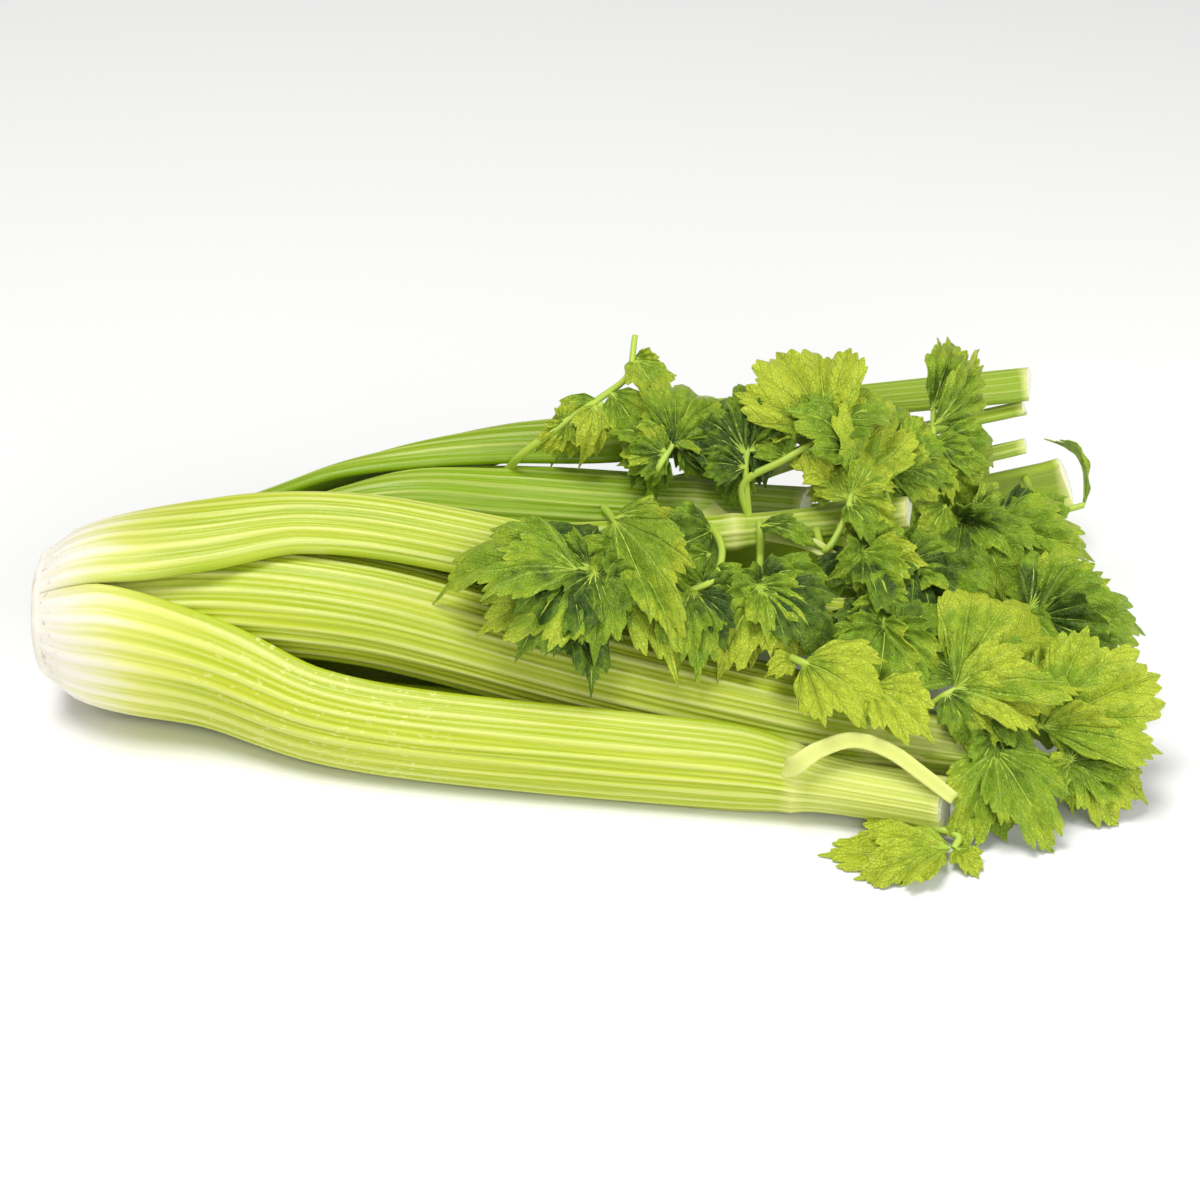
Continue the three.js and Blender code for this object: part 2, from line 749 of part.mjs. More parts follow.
// A leaflet: both faces of the blade triangulated alike, thicker along the midrib and at the side ribs.
function leafletBody(leaf, index, grow) {
  const size = vector(leaf.tip).distanceTo(vector(leaf.foot));
  const at = bladeFrame(leaf, index);
  const half = BLADE / 2 + grow;
  const outline = size < SMALL_SIZE ? SMALL_OUTLINE : LARGE_OUTLINE;
  const inner = outline.filter((ray, i) => i % 2 === 1);
  const spot = ([angle, reach], share, more, rib) => {
    const r = size * reach * share + more;
    const side = r * Math.sin(radians(angle)) * leaf.width;
    return [r * Math.cos(radians(angle)), side, half + (angle === 0 ? rib : 0)];
  };
  const spots = [[-grow, 0, half + MIDRIB]];
  inner.forEach((ray) => spots.push(spot(ray, 0.5, 0, MIDRIB)));
  outline.forEach((ray) => spots.push(spot(ray, 1, grow, 0)));
  const top = spots.map(([a, b, lift]) => at(a, b, lift));
  const bottom = spots.map(([a, b, lift]) => at(a, b, -lift));
  const k = inner.length;
  const m = outline.length;
  const rim = 1 + k;
  const faces = [
    [0, rim, 1],
    [0, k, rim + m - 1],
  ];
  for (let i = 0; i < k; i += 1) {
    const j = rim + 2 * i + 1;
    faces.push([1 + i, j - 1, j], [1 + i, j, j + 1]);
    if (i < k - 1) faces.push([0, 1 + i, 2 + i], [1 + i, j + 1, 2 + i]);
  }
  const count = spots.length;
  const triangles = [];
  faces.forEach(([a, b, c]) => triangles.push(c, b, a, a + count, b + count, c + count));
  const loop = [0];
  for (let i = 0; i < m; i += 1) loop.push(rim + i);
  loop.forEach((a, i) => {
    const b = loop[(i + 1) % loop.length];
    triangles.push(a, b, a + count, b, b + count, a + count);
  });
  return solid(top.concat(bottom), triangles);
}

// A leafy stem with its leaflets, grown together into one body.
function leafyStemBody(spray, grow) {
  const parts = [tube(spray.stem.map(vector), STEM_RADIUS + grow, 1.2 + grow, 4)];
  spray.leaves.forEach((leaf, index) => parts.push(leafletBody(leaf, index, grow)));
  return wasm.Manifold.union(parts);
}

// The crown: the cut disc that carries the sheaths, with the growing point in the middle.
function crownBody(grow) {
  const profile = [
    [0, -2.2],
    [17, -2.2],
    [22, -0.6],
    [24.5, 1.7],
    [2, 1.7],
    [1.6, 24],
    [0, 27],
  ].map(([r, x]) => new THREE.Vector2(r, x));
  const lathe = new THREE.LatheGeometry(profile, 20);
  lathe.rotateZ(-Math.PI / 2);
  lathe.translate(0, 0, AXIS_Z);
  const merged = mergeVertices(lathe.deleteAttribute("normal").deleteAttribute("uv"), 1e-4);
  const points = [];
  const place = merged.attributes.position;
  for (let i = 0; i < place.count; i += 1) points.push(new THREE.Vector3().fromBufferAttribute(place, i));
  return solid(points, [...merged.index.array]);
}

// The largest body left once the neighbours, grown by the gap, and the ground are taken away.
function trimmed(body, neighbours) {
  let left = body;
  const box = body.boundingBox();
  for (const other of neighbours) {
    const near = other.boundingBox();
    const apart = [0, 1, 2].some((i) => near.min[i] > box.max[i] || near.max[i] < box.min[i]);
    if (!apart) left = left.subtract(other);
  }
  left = left.trimByPlane([0, 0, 1], 0);
  const largest = left.decompose().reduce((a, b) => (b.volume() > a.volume() ? b : a));
  return largest.simplify(SHORTEST_EDGE);
}

// A named mesh in the part's frame, its middle over the origin.
function meshOf(name, body, look) {
  const { numProp, vertProperties, triVerts } = body.getMesh();
  const position = [];
  for (const vertex of triVerts) {
    position.push(...vertProperties.subarray(vertex * numProp, vertex * numProp + 3));
  }
  const geometry = new THREE.BufferGeometry();
  geometry.setAttribute("position", new THREE.Float32BufferAttribute(position, 3));
  geometry.translate(-CENTRE_X, -CENTRE_Y, 0);
  geometry.computeVertexNormals();
  const mesh = new THREE.Mesh(geometry, new THREE.MeshStandardMaterial(look));
  mesh.name = name;
  return mesh;
}

const head = new THREE.Group();
head.name = "celery_head";
const neighbours = [crownBody(GAP)];
head.add(meshOf("crown", crownBody(0), CROWN_LOOK));
for (const [name, stalk] of Object.entries(STALKS)) {
  const body = trimmed(stalkBody(stalk, 0), neighbours);
  head.add(meshOf(name, body, STALK_LOOK));
  neighbours.push(stalkBody(stalk, STALK_GAP));
}
for (const [name, spray] of Object.entries(LEAFY_STEMS)) {
  const body = trimmed(leafyStemBody(spray, 0), neighbours);
  head.add(meshOf(name, body, LEAF_LOOK));
  neighbours.push(leafyStemBody(spray, GAP));
}

export default head;
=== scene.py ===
"""A head of celery lying on a pale floor: its crown, its ribbed stalks and the leafy stems on them.

Lengths in the tables are millimetres from the root cut, as a maker would measure them along the head.
"""
import math
from collections import namedtuple

import bmesh
import bpy
import numpy as np
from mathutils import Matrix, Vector


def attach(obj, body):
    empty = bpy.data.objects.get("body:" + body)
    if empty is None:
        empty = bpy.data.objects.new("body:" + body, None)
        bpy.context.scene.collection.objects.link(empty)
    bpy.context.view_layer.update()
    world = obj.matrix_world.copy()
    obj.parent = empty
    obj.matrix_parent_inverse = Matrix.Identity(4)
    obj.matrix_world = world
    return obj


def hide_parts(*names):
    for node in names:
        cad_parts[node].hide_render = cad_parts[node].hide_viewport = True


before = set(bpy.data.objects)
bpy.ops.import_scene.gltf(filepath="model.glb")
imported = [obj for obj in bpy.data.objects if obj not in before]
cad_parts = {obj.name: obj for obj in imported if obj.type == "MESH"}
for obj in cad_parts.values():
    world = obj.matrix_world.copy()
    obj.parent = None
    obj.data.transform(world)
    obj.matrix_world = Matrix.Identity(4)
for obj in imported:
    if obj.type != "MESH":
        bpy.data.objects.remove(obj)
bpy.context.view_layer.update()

bl_info = {
    "name": "Head of Celery",
    "version": (1, 0, 0),
    "blender": (4, 5, 0),
    "location": "3D View > Sidebar > Celery",
    "description": "Builds a head of celery with ribbed stalks and serrated leaves",
    "category": "Object",
}

MM = 0.001
CENTRE = (198.4, 1.0, 0.0)  # the middle of the head, measured from the root cut
AXIS_HEIGHT = 36.0  # height of the head's own axis at the root
FREE_ANGLE = 70.0  # half angle of a stalk's curved back where it is free
END_ANGLE = 82.0  # half angle past the joint, where the stalk is nearly round
WALL = 8.5  # thickness in the middle of a stalk's back
EDGE_SHARE = 0.45  # thickness at the edges, as a share of the middle
CUT_LEAN = np.array([0, -0.42, 0.28])  # how the knife leant: an end's front and top are cut shorter
CUT_RUN = 14  # length over which a cut end takes on that lean
OPEN_X, FREE_X = 60, 97  # where the sheaths open, and where a stalk is wholly free
EASE_START, EASE_RUN = 20, 60  # where stalks begin to follow their own path, and over what length
BEFORE_JOINT, PAST_JOINT = 22, 10  # how far from its joint a stalk starts and ends to narrow
SWELL_RUN = 3.5  # half length of the ring at a joint
LIP_SHARES = (0.25, 0.5, 0.75)  # places of the points round a stalk's edge, in shares of a half turn
RIB_FADE = 0.07  # share of a stalk's half back over which its ribs fade out at the edge

# Where the sheaths wrap round the axis: outer radius at three stations, half angle and thickness.
SHEATH_X = (2, 12, 28)
SHEATHS = {
    "outer": ((24.0, 31.5, 36.5), 56, 7.0),
    "second": ((17.5, 23.5, 28.6), 54, 6.6),
    "third": ((11.5, 16.5, 21.2), 52, 6.0),
    "heart": ((6.5, 10.5, 14.4), 50, 5.0),
}
# Each stalk: its sheath, the side it faces there, its widths (wide part, below the joint, above it), the
# joint's place, the number of ribs, its tone (painted shade: the higher, the deeper green), and
# points (x, y, z, facing) along the middle of its back.
Stalk = namedtuple("Stalk", "sheath side widths joint ribs tone points")
STALKS = {
    "01": ("outer", -8, (40, 34, 22), 268, 9, 0.04, [
        (60, -40, 26, -4), (97, -53, 20, 2), (133, -61, 18, 5), (203, -71, 17, 8), (262, -79, 16.5, 10),
        (319, -88, 12, 12),
    ]),
    "02": ("second", 48, (41, 35, 26), 296, 9, 0.12, [
        (60, -19, 59, 42), (97, -25, 60, 42), (132, -30, 56, 42), (203, -42, 41, 43), (272, -54, 30, 45),
        (334, -64, 22, 45),
    ]),
    "03": ("outer", 110, (36, 32, 22), 292, 9, 0.22, [
        (60, 6, 79, 97), (96, 6, 82, 94), (132, 1, 81, 90), (203, -12, 71, 84), (273, -22, 56, 80),
        (366, -18, 36, 75),
    ]),
    "04": ("third", 155, (34, 31, 24), 236, 8, 1.0, [
        (60, 21, 55, 132), (95, 35, 65, 118), (129, 38, 73, 97), (166, 40, 71, 82), (203, 40, 68, 75),
        (279, 39, 62, 70),
    ]),
    "05": ("second", 187, (36, 36, 20), 262, 8, 0.9, [
        (60, 40, 48, 168), (95, 58, 58, 158), (130, 66, 69, 136), (165, 70, 76, 118), (203, 73, 79, 104),
        (280, 88, 80, 92), (370, 107, 80, 90),
    ]),
    "06": ("outer", 228, (36, 32, 24), 300, 8, 0.4, [
        (60, 33, 14, 225), (95, 47, 10, 213), (166, 66, 10, 202), (250, 84, 11.5, 195),
        (330, 100, 23, 185), (388, 110, 32, 180),
    ]),
    "07": ("second", -75, (30, 26, 17), 290, 5, 0.3, [
        (60, -9, 9, -70), (95, -14, 8, -68), (166, -26, 8, -65), (250, -42, 8, -60), (356, -75, 11, -45),
    ]),
    "08": ("third", -60, (24, 22, 15), 285, 4, 0.5, [
        (60, -9, 27, -30), (95, -13, 29, -8), (166, -13, 33, 8), (250, -8, 38, 15), (345, 0, 42, 20),
    ]),
    "09": ("third", 50, (24, 20, 15), 250, 4, 0.5, [
        (60, -1, 53, 68), (95, 9, 57, 85), (166, 15, 62, 90), (250, 18, 65, 80), (315, 24, 69, 70),
    ]),
    "10": ("heart", 225, (20, 20, 14), 290, 3, 0.5, [
        (60, 7, 24, 232), (95, 12, 22, 235), (166, 20, 23, 230), (250, 26, 22, 225), (378, 28, 20, 225),
    ]),
    "11": ("heart", 125, (20, 18, 12), 270, 4, 0.55, [
        (60, 14, 42, 140), (95, 26, 39, 160), (166, 49, 47, 155), (250, 72, 57, 142),
        (368, 104, 68, 120),
    ]),
    "12": ("heart", 20, (15, 14, 9), 260, 3, 0.6, [
        (60, -1, 36, 25), (95, 4.5, 35.5, 48), (166, 26, 42, 78), (250, 52, 50.5, 92), (366, 80, 64, 90),
    ]),
}
# Side branches that grow out of two of the stalks.
BRANCHES = {
    "01": [
        (262, -76, 22), (268, -80, 27), (276, -78, 32), (288, -75, 34), (300, -77, 31), (311, -82, 25),
        (322, -87, 18),
    ],
    "04": [
        (238, 34, 62), (248, 24, 61), (262, 14, 62), (276, 6, 63), (285, 1, 60), (291, -3, 54),
    ],
}
BRANCH_SHARES = (0, 0.1, 0.3, 0.9, 1)  # places along a side branch
BRANCH_HALVES = (4.2, 3.6, 2.9, 2.5, 2.3)  # half its width at each of them
BRANCH_FACE = np.array([0.1, -0.8, 0.6])  # the way its channel looks
BRANCH_START = (2, 5, -2)  # how far inside the stalk it starts
BRANCH_SIDES = 24
BRANCH_STEP = 1.6  # distance between its rings

# The crown, from the middle of its cut to its growing point: radius, and distance from the root cut.
CROWN_PROFILE = [
    (0, -2.2), (6, -2.3), (12, -2.25), (17, -2.0), (20, -1.4), (22.2, -0.5), (23.5, 0.6), (24.0, 1.8),
    (23.8, 2.6), (23, 3.0), (14, 3.0), (2, 3.0), (1.6, 12), (1.5, 24), (0.8, 26.4), (0, 27),
]
CROWN_SIDES = 96
CROWN_RADIUS = 24.0
RIM_RADII, RIM_END = (17.0, 24.3), 1.6  # where rootlets grew: between these radii, and up to this x
RIM_AREA = 0.0011  # square metres
SCAR_SIZE = 0.0007  # radius of the widest stub, in metres
CROWN_SEED, SCAR_SEED = 7, 3

# Each leafy stem: its tone (painted light and shade, from dark to bright), points along it, and its leaflets
# as foot, tip, width share, the way the face looks and, where it isn't the usual one, how far it arches.
USUAL_ARCH = 0.12
LEAFY_STEMS = {
    "01": (0.5, [(212, -6, 60), (212, -18, 71), (203, -22, 70), (194, -32, 75)], [
        ((194, -32, 75), (145, -30, 78), 0.72, (0, -0.35, 0.93)),
        ((199, -30, 72), (161, -49, 65), 0.85, (0, -0.6, 0.8)),
        ((200, -28, 72), (200, -53, 59), 0.95, (0.1, -0.7, 0.6)),
    ]),
    "02": (0.7, [(204, 27, 64), (206, 14, 69), (208, 1, 73)], [
        ((207, 2, 74), (228, -53, 55), 0.55, (-0.1, -0.6, 0.8), 0.15),
        ((208, 1, 73), (222, -24, 69), 0.7, (0.2, -0.8, 0.5)),
        ((207, 6, 73), (236, 2, 74), 0.5, (0.1, -0.4, 0.9)),
    ]),
    "03": (0.4, [(238, 19, 62), (242, 8, 68), (245, -10, 69), (241, -26, 67), (232, -30, 65)], [
        ((242, 6, 68), (220, -16, 71), 0.78, (0.1, -0.8, 0.5)),
        ((232, -30, 65), (224, -37, 52), 0.91, (0.1, -0.9, 0.3)),
        ((234, -29, 65), (236, -53, 48), 0.65, (0.1, -0.8, 0.5)),
    ]),
    "04": (0.45, [(260, 23, 61), (260, 13, 65), (260, 8, 54), (258, -23, 61)], [
        ((258, -21, 61), (255, -41, 44), 0.95, (0, -0.9, 0.45)),
        ((258, -20, 61), (241, -36, 58), 0.78, (-0.2, -0.9, 0.4)),
        ((258, -20, 61), (279, -28, 56), 0.78, (0.3, -0.9, 0.4)),
        ((260, 12, 66), (281, 2, 67), 0.5, (0.2, -0.4, 0.9)),
    ]),
    "05": (0.95, [(264, -34, 43), (272, -49, 48), (297, -57, 42)], [
        ((272, -49, 48), (300, -70, 43), 0.95, (0.1, -0.6, 0.8)),
        ((295, -58, 43), (315, -75, 40), 0.95, (0.2, -0.6, 0.8)),
        ((269, -45, 47), (259, -50, 46), 0.91, (0.1, -0.6, 0.8)),
    ]),
    "06": (0.5, [(297, -13, 49), (301, -5, 54), (302, -17, 51), (302, -29, 49)], [
        ((302, -29, 50), (296, -59, 41), 0.95, (0, -0.9, 0.4)),
        ((302, -29, 49), (278, -42, 46), 0.78, (-0.1, -0.9, 0.4)),
        ((302, -29, 49), (322, -46, 43), 0.78, (0.1, -0.9, 0.4)),
    ]),
    "07": (0.25, [(310, 19, 61), (312, 9, 55), (313, 3, 54)], [
        ((313, 3, 54), (337, -35, 45), 0.8, (0.2, -0.8, 0.5)),
        ((313, 3, 54), (302, -32, 49), 0.8, (0, -0.8, 0.5)),
    ]),
    "08": (0.8, [(314, -50, 28), (321, -52, 36), (325, -51, 38)], [
        ((325, -50, 38), (366, -15, 48), 0.95, (0, -0.5, 0.87)),
        ((325, -51, 38), (365, -46, 40), 0.72, (0, -0.6, 0.8)),
    ]),
    "09": (0.65, [(337, -48, 23), (342, -44, 32), (348, -49, 30), (355, -57, 26)], [
        ((355, -57, 26), (398, -36, 37), 0.95, (0.1, -0.7, 0.7)),
        ((353, -53, 27), (380, -25, 38), 0.78, (0.1, -0.7, 0.7)),
    ]),
    "10": (0.45, [(342, 0, 42), (351, -8, 42), (358, -12, 42)], [
        ((358, -11, 42), (387, 4, 52), 0.95, (0.1, -0.7, 0.7)),
        ((358, -12, 42), (399, -9, 46), 0.78, (0.1, -0.7, 0.7)),
        ((354, -9, 42), (368, -29, 40), 0.85, (0.1, -0.7, 0.7)),
    ]),
    "11": (0.6, [(337, -48, 23), (343, -41, 30), (339, -55, 26), (338, -66, 22)], [
        ((338, -65, 22), (356, -96, 3), 0.62, (0.3, -0.9, 0.2), 0.15),
        ((338, -66, 22), (324, -95, 4), 0.62, (-0.2, -0.9, 0.3)),
    ]),
    "12": (0.6, [(345, -69, 15), (345, -62, 22), (357, -65, 19), (368, -66, 16)], [
        ((366, -66, 17), (391, -59, 22), 0.78, (0.1, -0.7, 0.7)),
        ((368, -66, 16), (381, -80, 4), 0.85, (0.3, -0.8, 0.5)),
        ((362, -66, 18), (365, -78, 9), 0.85, (0.1, -0.8, 0.5)),
    ]),
    "13": (0.8, [(317, -87, 5), (324, -91, 5), (322, -95, 3)], [
        ((321, -95, 3), (277, -96, 2), 0.65, (0, 0, 1), 0.06),
        ((319, -96, 3), (288, -109, 2), 0.72, (0, -0.1, 1), 0.08),
        ((323, -95, 3), (329, -108, 2), 0.8, (0, -0.1, 1), 0.1),
    ]),
    "14": (0.7, [
        (169, 46, 72), (173, 42, 79), (188, 45, 90), (202, 56, 95), (212, 66, 99), (215, 81, 108),
    ], [
        ((190, 46, 91), (197, 41, 85), 0.91, (0, -0.85, 0.5)),
        ((188, 45, 90), (191, 53, 95), 0.91, (0, -0.85, 0.5)),
        ((214, 73, 102), (226, 49, 90), 0.65, (0.5, -0.8, 0.2)),
        ((215, 75, 102), (226, 72, 101), 0.78, (0.2, -0.8, 0.4)),
    ]),
    "15": (0.5, [(220, 36, 65), (223, 29, 80), (226, 33, 84), (229, 37, 87)], [
        ((229, 37, 87), (240, 65, 100), 0.95, (-0.1, -0.8, 0.5)),
        ((226, 33, 85), (214, 43, 91), 0.85, (-0.2, -0.8, 0.5)),
        ((229, 36, 86), (249, 46, 91), 0.91, (0.2, -0.8, 0.5)),
        ((226, 33, 84), (208, 34, 81), 0.8, (-0.2, -0.8, 0.5)),
    ]),
    "16": (0.3, [(256, 23, 66), (255, 26, 78), (255, 29, 84), (256, 32, 88)], [
        ((256, 32, 88), (272, 64, 104), 0.65, (-0.3, -0.8, 0.4)),
        ((255, 30, 86), (238, 52, 97), 0.7, (-0.2, -0.8, 0.4)),
        ((256, 30, 87), (270, 42, 92), 0.7, (0.1, -0.8, 0.4)),
        ((255, 27, 82), (238, 33, 83), 0.8, (-0.2, -0.8, 0.5)),
    ]),
    "17": (0.85, [(256, 23, 66), (254, 25, 76), (268, 25, 86), (285, 32, 93)], [
        ((285, 31, 93), (268, 67, 113), 0.95, (0.1, -0.9, 0.3)),
        ((283, 31, 92), (295, 54, 105), 0.78, (0.3, -0.9, 0.2)),
    ]),
    "18": (0.8, [(281, 17, 62), (283, 2, 62), (290, 10, 70), (293, 18, 78)], [
        ((293, 18, 78), (300, 61, 102), 0.65, (0.4, -0.8, 0.2)),
        ((292, 16, 75), (278, 29, 85), 0.65, (0, -0.8, 0.4)),
        ((293, 17, 76), (310, 6, 71), 0.7, (0, -0.8, 0.4)),
    ]),
    "19": (0.45, [(308, 24, 67), (306, 30, 72), (306, 36, 76)], [
        ((306, 36, 76), (314, 67, 92), 0.95, (0.1, -0.9, 0.4)),
        ((306, 36, 76), (322, 48, 84), 0.8, (0.2, -0.8, 0.5)),
    ]),
    "20": (0.6, [(315, 33, 66), (327, 45, 66), (326, 51, 80), (326, 57, 90)], [
        ((325, 56, 90), (337, 89, 112), 0.55, (0.2, -0.9, 0.1)),
        ((326, 52, 86), (344, 82, 104), 0.52, (0.4, -0.8, 0.1)),
        ((326, 49, 79), (342, 51, 80), 0.7, (0.3, -0.8, 0.4)),
        ((326, 47, 73), (333, 32, 66), 0.6, (0.3, -0.8, 0.4)),
    ]),
    "21": (0.5, [(371, 97, 37), (373, 69, 40), (381, 64, 42), (388, 64, 44)], [
        ((388, 64, 44), (381, 94, 60), 0.3, (0.9, -0.4, 0.1)),
    ]),
    "22": (0.6, [(289, 18, 63), (294, 2, 64), (298, -5, 60)], [
        ((295, -1, 63), (311, -21, 56), 0.78, (0.2, -0.8, 0.4)),
        ((294, 2, 64), (315, 7, 64), 0.78, (0.1, -0.8, 0.4)),
        ((298, -5, 60), (298, -19, 53), 0.91, (0.1, -0.8, 0.4)),
    ]),
    "23": (0.5, [(315, 33, 66), (324, 37, 62), (335, 31, 58), (346, 28, 54)], [
        ((346, 28, 54), (384, 22, 52), 0.78, (0.1, -0.7, 0.7)),
        ((340, 30, 56), (366, 37, 61), 0.65, (0.1, -0.7, 0.7)),
        ((336, 30, 57), (353, -1, 47), 0.95, (0.2, -0.7, 0.6)),
    ]),
}

# Lesser leaflets that fill the stems out: foot and tip of each. Their faces and widths are drawn by lot.
LESSER_LEAFLETS = {
    "01": [((198, -28, 74), (180, -18, 76)), ((199, -30, 72), (186, -52, 62))],
    "02": [((208, -10, 71), (194, -18, 73)), ((212, -12, 71), (230, -32, 65)),
           ((210, -14, 70), (208, -42, 60)), ((214, -22, 67), (236, -48, 56)),
           ((207, -12, 71), (190, -30, 68))],
    "03": [((238, -28, 66), (226, -21, 68)), ((241, -10, 68), (228, -17, 67)),
           ((235, -30, 64), (246, -45, 56)), ((233, -31, 64), (216, -40, 58)),
           ((240, -20, 66), (256, -30, 62)), ((232, -32, 64), (228, -50, 52)),
           ((236, -28, 64), (250, -22, 65))],
    "04": [((259, -15, 60), (245, -22, 66)), ((259, -18, 62), (273, -14, 66)),
           ((258, -22, 60), (270, -44, 50)), ((258, -22, 60), (243, -46, 48)),
           ((262, -12, 62), (285, -20, 58)), ((259, -20, 60), (284, -40, 50))],
    "06": [((302, -20, 52), (288, -28, 56)), ((302, -26, 50), (314, -50, 41)),
           ((301, -16, 53), (316, -24, 55)), ((301, -20, 51), (282, -32, 48))],
    "07": [((313, 3, 56), (331, 9, 63)), ((312, 5, 56), (297, -6, 60)), ((313, 2, 54), (336, -14, 54)),
           ((312, 6, 57), (318, -16, 58)), ((313, 4, 55), (329, -26, 48))],
    "08": [((325, -50, 38), (341, -22, 43)), ((322, -51, 37), (331, -67, 30)),
           ((326, -50, 38), (348, -58, 34))],
    "09": [((352, -52, 28), (339, -38, 35)), ((356, -57, 27), (386, -60, 30)),
           ((350, -50, 30), (372, -46, 43)), ((353, -53, 28), (366, -30, 40))],
    "10": [((356, -10, 44), (373, 14, 60)), ((352, -10, 42), (341, -28, 42)),
           ((360, -12, 43), (386, -26, 39))],
    "11": [((340, -62, 24), (350, -78, 14)), ((339, -60, 25), (328, -74, 18))],
    "12": [((366, -66, 18), (351, -72, 16)), ((364, -66, 18), (381, -52, 27)),
           ((367, -66, 18), (392, -72, 12))],
    "14": [((203, 54, 94), (183, 46, 82)), ((206, 58, 96), (219, 44, 86)), ((200, 52, 94), (195, 37, 81)),
           ((190, 45, 90), (178, 42, 84))],
    "15": [((224, 33, 84), (209, 41, 88)), ((228, 36, 87), (221, 55, 98)), ((228, 38, 88), (246, 42, 88)),
           ((222, 38, 86), (203, 48, 90)), ((226, 42, 87), (213, 52, 74)), ((230, 42, 87), (241, 54, 74))],
    "16": [((255, 32, 88), (263, 53, 101)), ((256, 33, 89), (246, 43, 88)), ((256, 31, 86), (245, 58, 98)),
           ((256, 38, 88), (268, 54, 76)), ((255, 38, 86), (247, 56, 75))],
    "17": [((284, 31, 92), (275, 50, 105)), ((284, 31, 92), (301, 40, 93)), ((270, 26, 86), (261, 38, 96)),
           ((276, 28, 89), (285, 20, 80)), ((272, 36, 88), (284, 54, 80))],
    "18": [((292, 16, 76), (305, 31, 89)), ((293, 17, 77), (310, 23, 82)), ((291, 14, 74), (300, -2, 68))],
    "19": [((310, 38, 76), (335, 50, 73)), ((308, 36, 77), (299, 60, 89)), ((312, 40, 78), (331, 62, 81)),
           ((306, 36, 74), (319, 29, 63)), ((306, 34, 74), (293, 40, 78)), ((308, 36, 76), (330, 38, 66))],
    "20": [((327, 50, 80), (351, 56, 71)), ((326, 48, 76), (311, 44, 67)), ((326, 47, 72), (346, 44, 62))],
    "22": [((294, 4, 60), (280, -6, 50)), ((296, 2, 60), (312, -4, 46)), ((296, 0, 64), (284, -14, 62)),
           ((297, -2, 62), (319, -8, 64)), ((296, -3, 62), (308, -28, 53)), ((295, 0, 63), (308, 12, 70))],
    "23": [((340, 30, 58), (354, 50, 62)), ((334, 31, 58), (347, 22, 70)), ((348, 28, 56), (373, 44, 52)),
           ((330, 34, 62), (321, 20, 55)), ((338, 30, 57), (360, 14, 50)), ((344, 29, 55), (368, 28, 44))],
}
# Thin tendrils: the leafy stem that bears each, and points along it.
TENDRILS = {
    "21": [(381, 64, 42), (379, 63, 38), (382, 63, 31), (384, 63, 23), (382, 63, 16), (380, 63, 14)],
}
SPARSE = ("02", "03", "04", "05", "13", "14", "20", "21")  # no leaflets are drawn by lot under these

# Half outline of a large and of a small leaflet about its foot: angle from the midrib, share of the length.
LARGE_HALF = [(0, 1), (9, 0.86), (17, 0.92), (28, 0.7), (40, 0.82), (50, 0.7), (58, 0.68), (70, 0.34)]
SMALL_HALF = [(0, 1), (12, 0.8), (24, 0.86), (36, 0.66), (52, 0.7), (68, 0.36)]
SMALL_SIZE = 30.0  # leaflets shorter than this have fewer teeth
VEIN_STEP = 20.0  # degrees between the main veins that leave a leaflet's foot
GROUND = 0.9  # lowest place of a leaf's middle surface
FOOTING = 0.3  # lowest place of a stalk's skin before its ribs are raised
ROOTED = 4.0  # how far a leafy stem runs into the stalk that bears it
STEM_STEP = 1.5  # distance between the points along a leafy stem
STEM_SIDES = 6
SMALL_RINGS, LARGE_RINGS, PLAIN_RINGS = 7, 11, 6  # rings of points on small, large and lesser blades
FINE_RAYS, PLAIN_RAYS = 4, 3  # rays to a tooth on the main blades and on the lesser ones
MARGIN_SMOOTHING = 13  # rays over which a blade's inner part evens the lobes out
FOLD = 0.25  # how steeply a blade rises from its midrib
LOBE_WAVE = 0.04  # height of the five waves that run round its lobes
CURL, TWIST, DROOP = 0.3, 0.25, 0.25  # how far the lot curls a blade's sides, twists it and bends its tip
HANG, HANG_SPREAD = 0.2, 0.15  # how far its margin hangs down, and how much the lot changes that
MIDRIB_HALF, VEIN_HALF = 0.6, 0.34  # half thickness of a large blade's midrib and main veins
LOT_WIDTH, LOT_ARCH = (0.7, 0.95), (0.05, 0.2)  # ranges for the leaflets that are drawn by lot
LESSER_FACE = np.array([0.1, -0.75, 0.6])  # the way that lesser leaflets look, before the lot moves it

FLOOR_HALF = 4.0  # metres
SENSOR = 36.0  # width of the picture in the camera, in millimetres
FAR_CLIP = 20.0
# Each lamp: its name, place and width in metres, and its share of the stage's light.
LAMPS = (
    ("soft_lamp", (-0.5, -0.25, 2.2), 1.2, 1.0),
    ("front_lamp", (0.3, -1.3, 0.8), 1.0, 0.17),
    ("side_lamp", (1.3, -0.5, 0.6), 0.6, 0.2),
)


def linear(code):
    """Scene colour of an sRGB hex value."""
    parts = [int(code[i:i + 2], 16) / 255 for i in (1, 3, 5)]
    return tuple(p / 12.92 if p <= 0.04045 else ((p + 0.055) / 1.055) ** 2.4 for p in parts)


def rgba(colour):
    return (*colour, 1.0)


def placed(points):
    """Points of the tables, in millimetres from the root cut, in metres in the head's frame."""
    return (np.asarray(points, float) - CENTRE) * MM


def unit(v):
    return v / np.linalg.norm(v, axis=-1, keepdims=True)


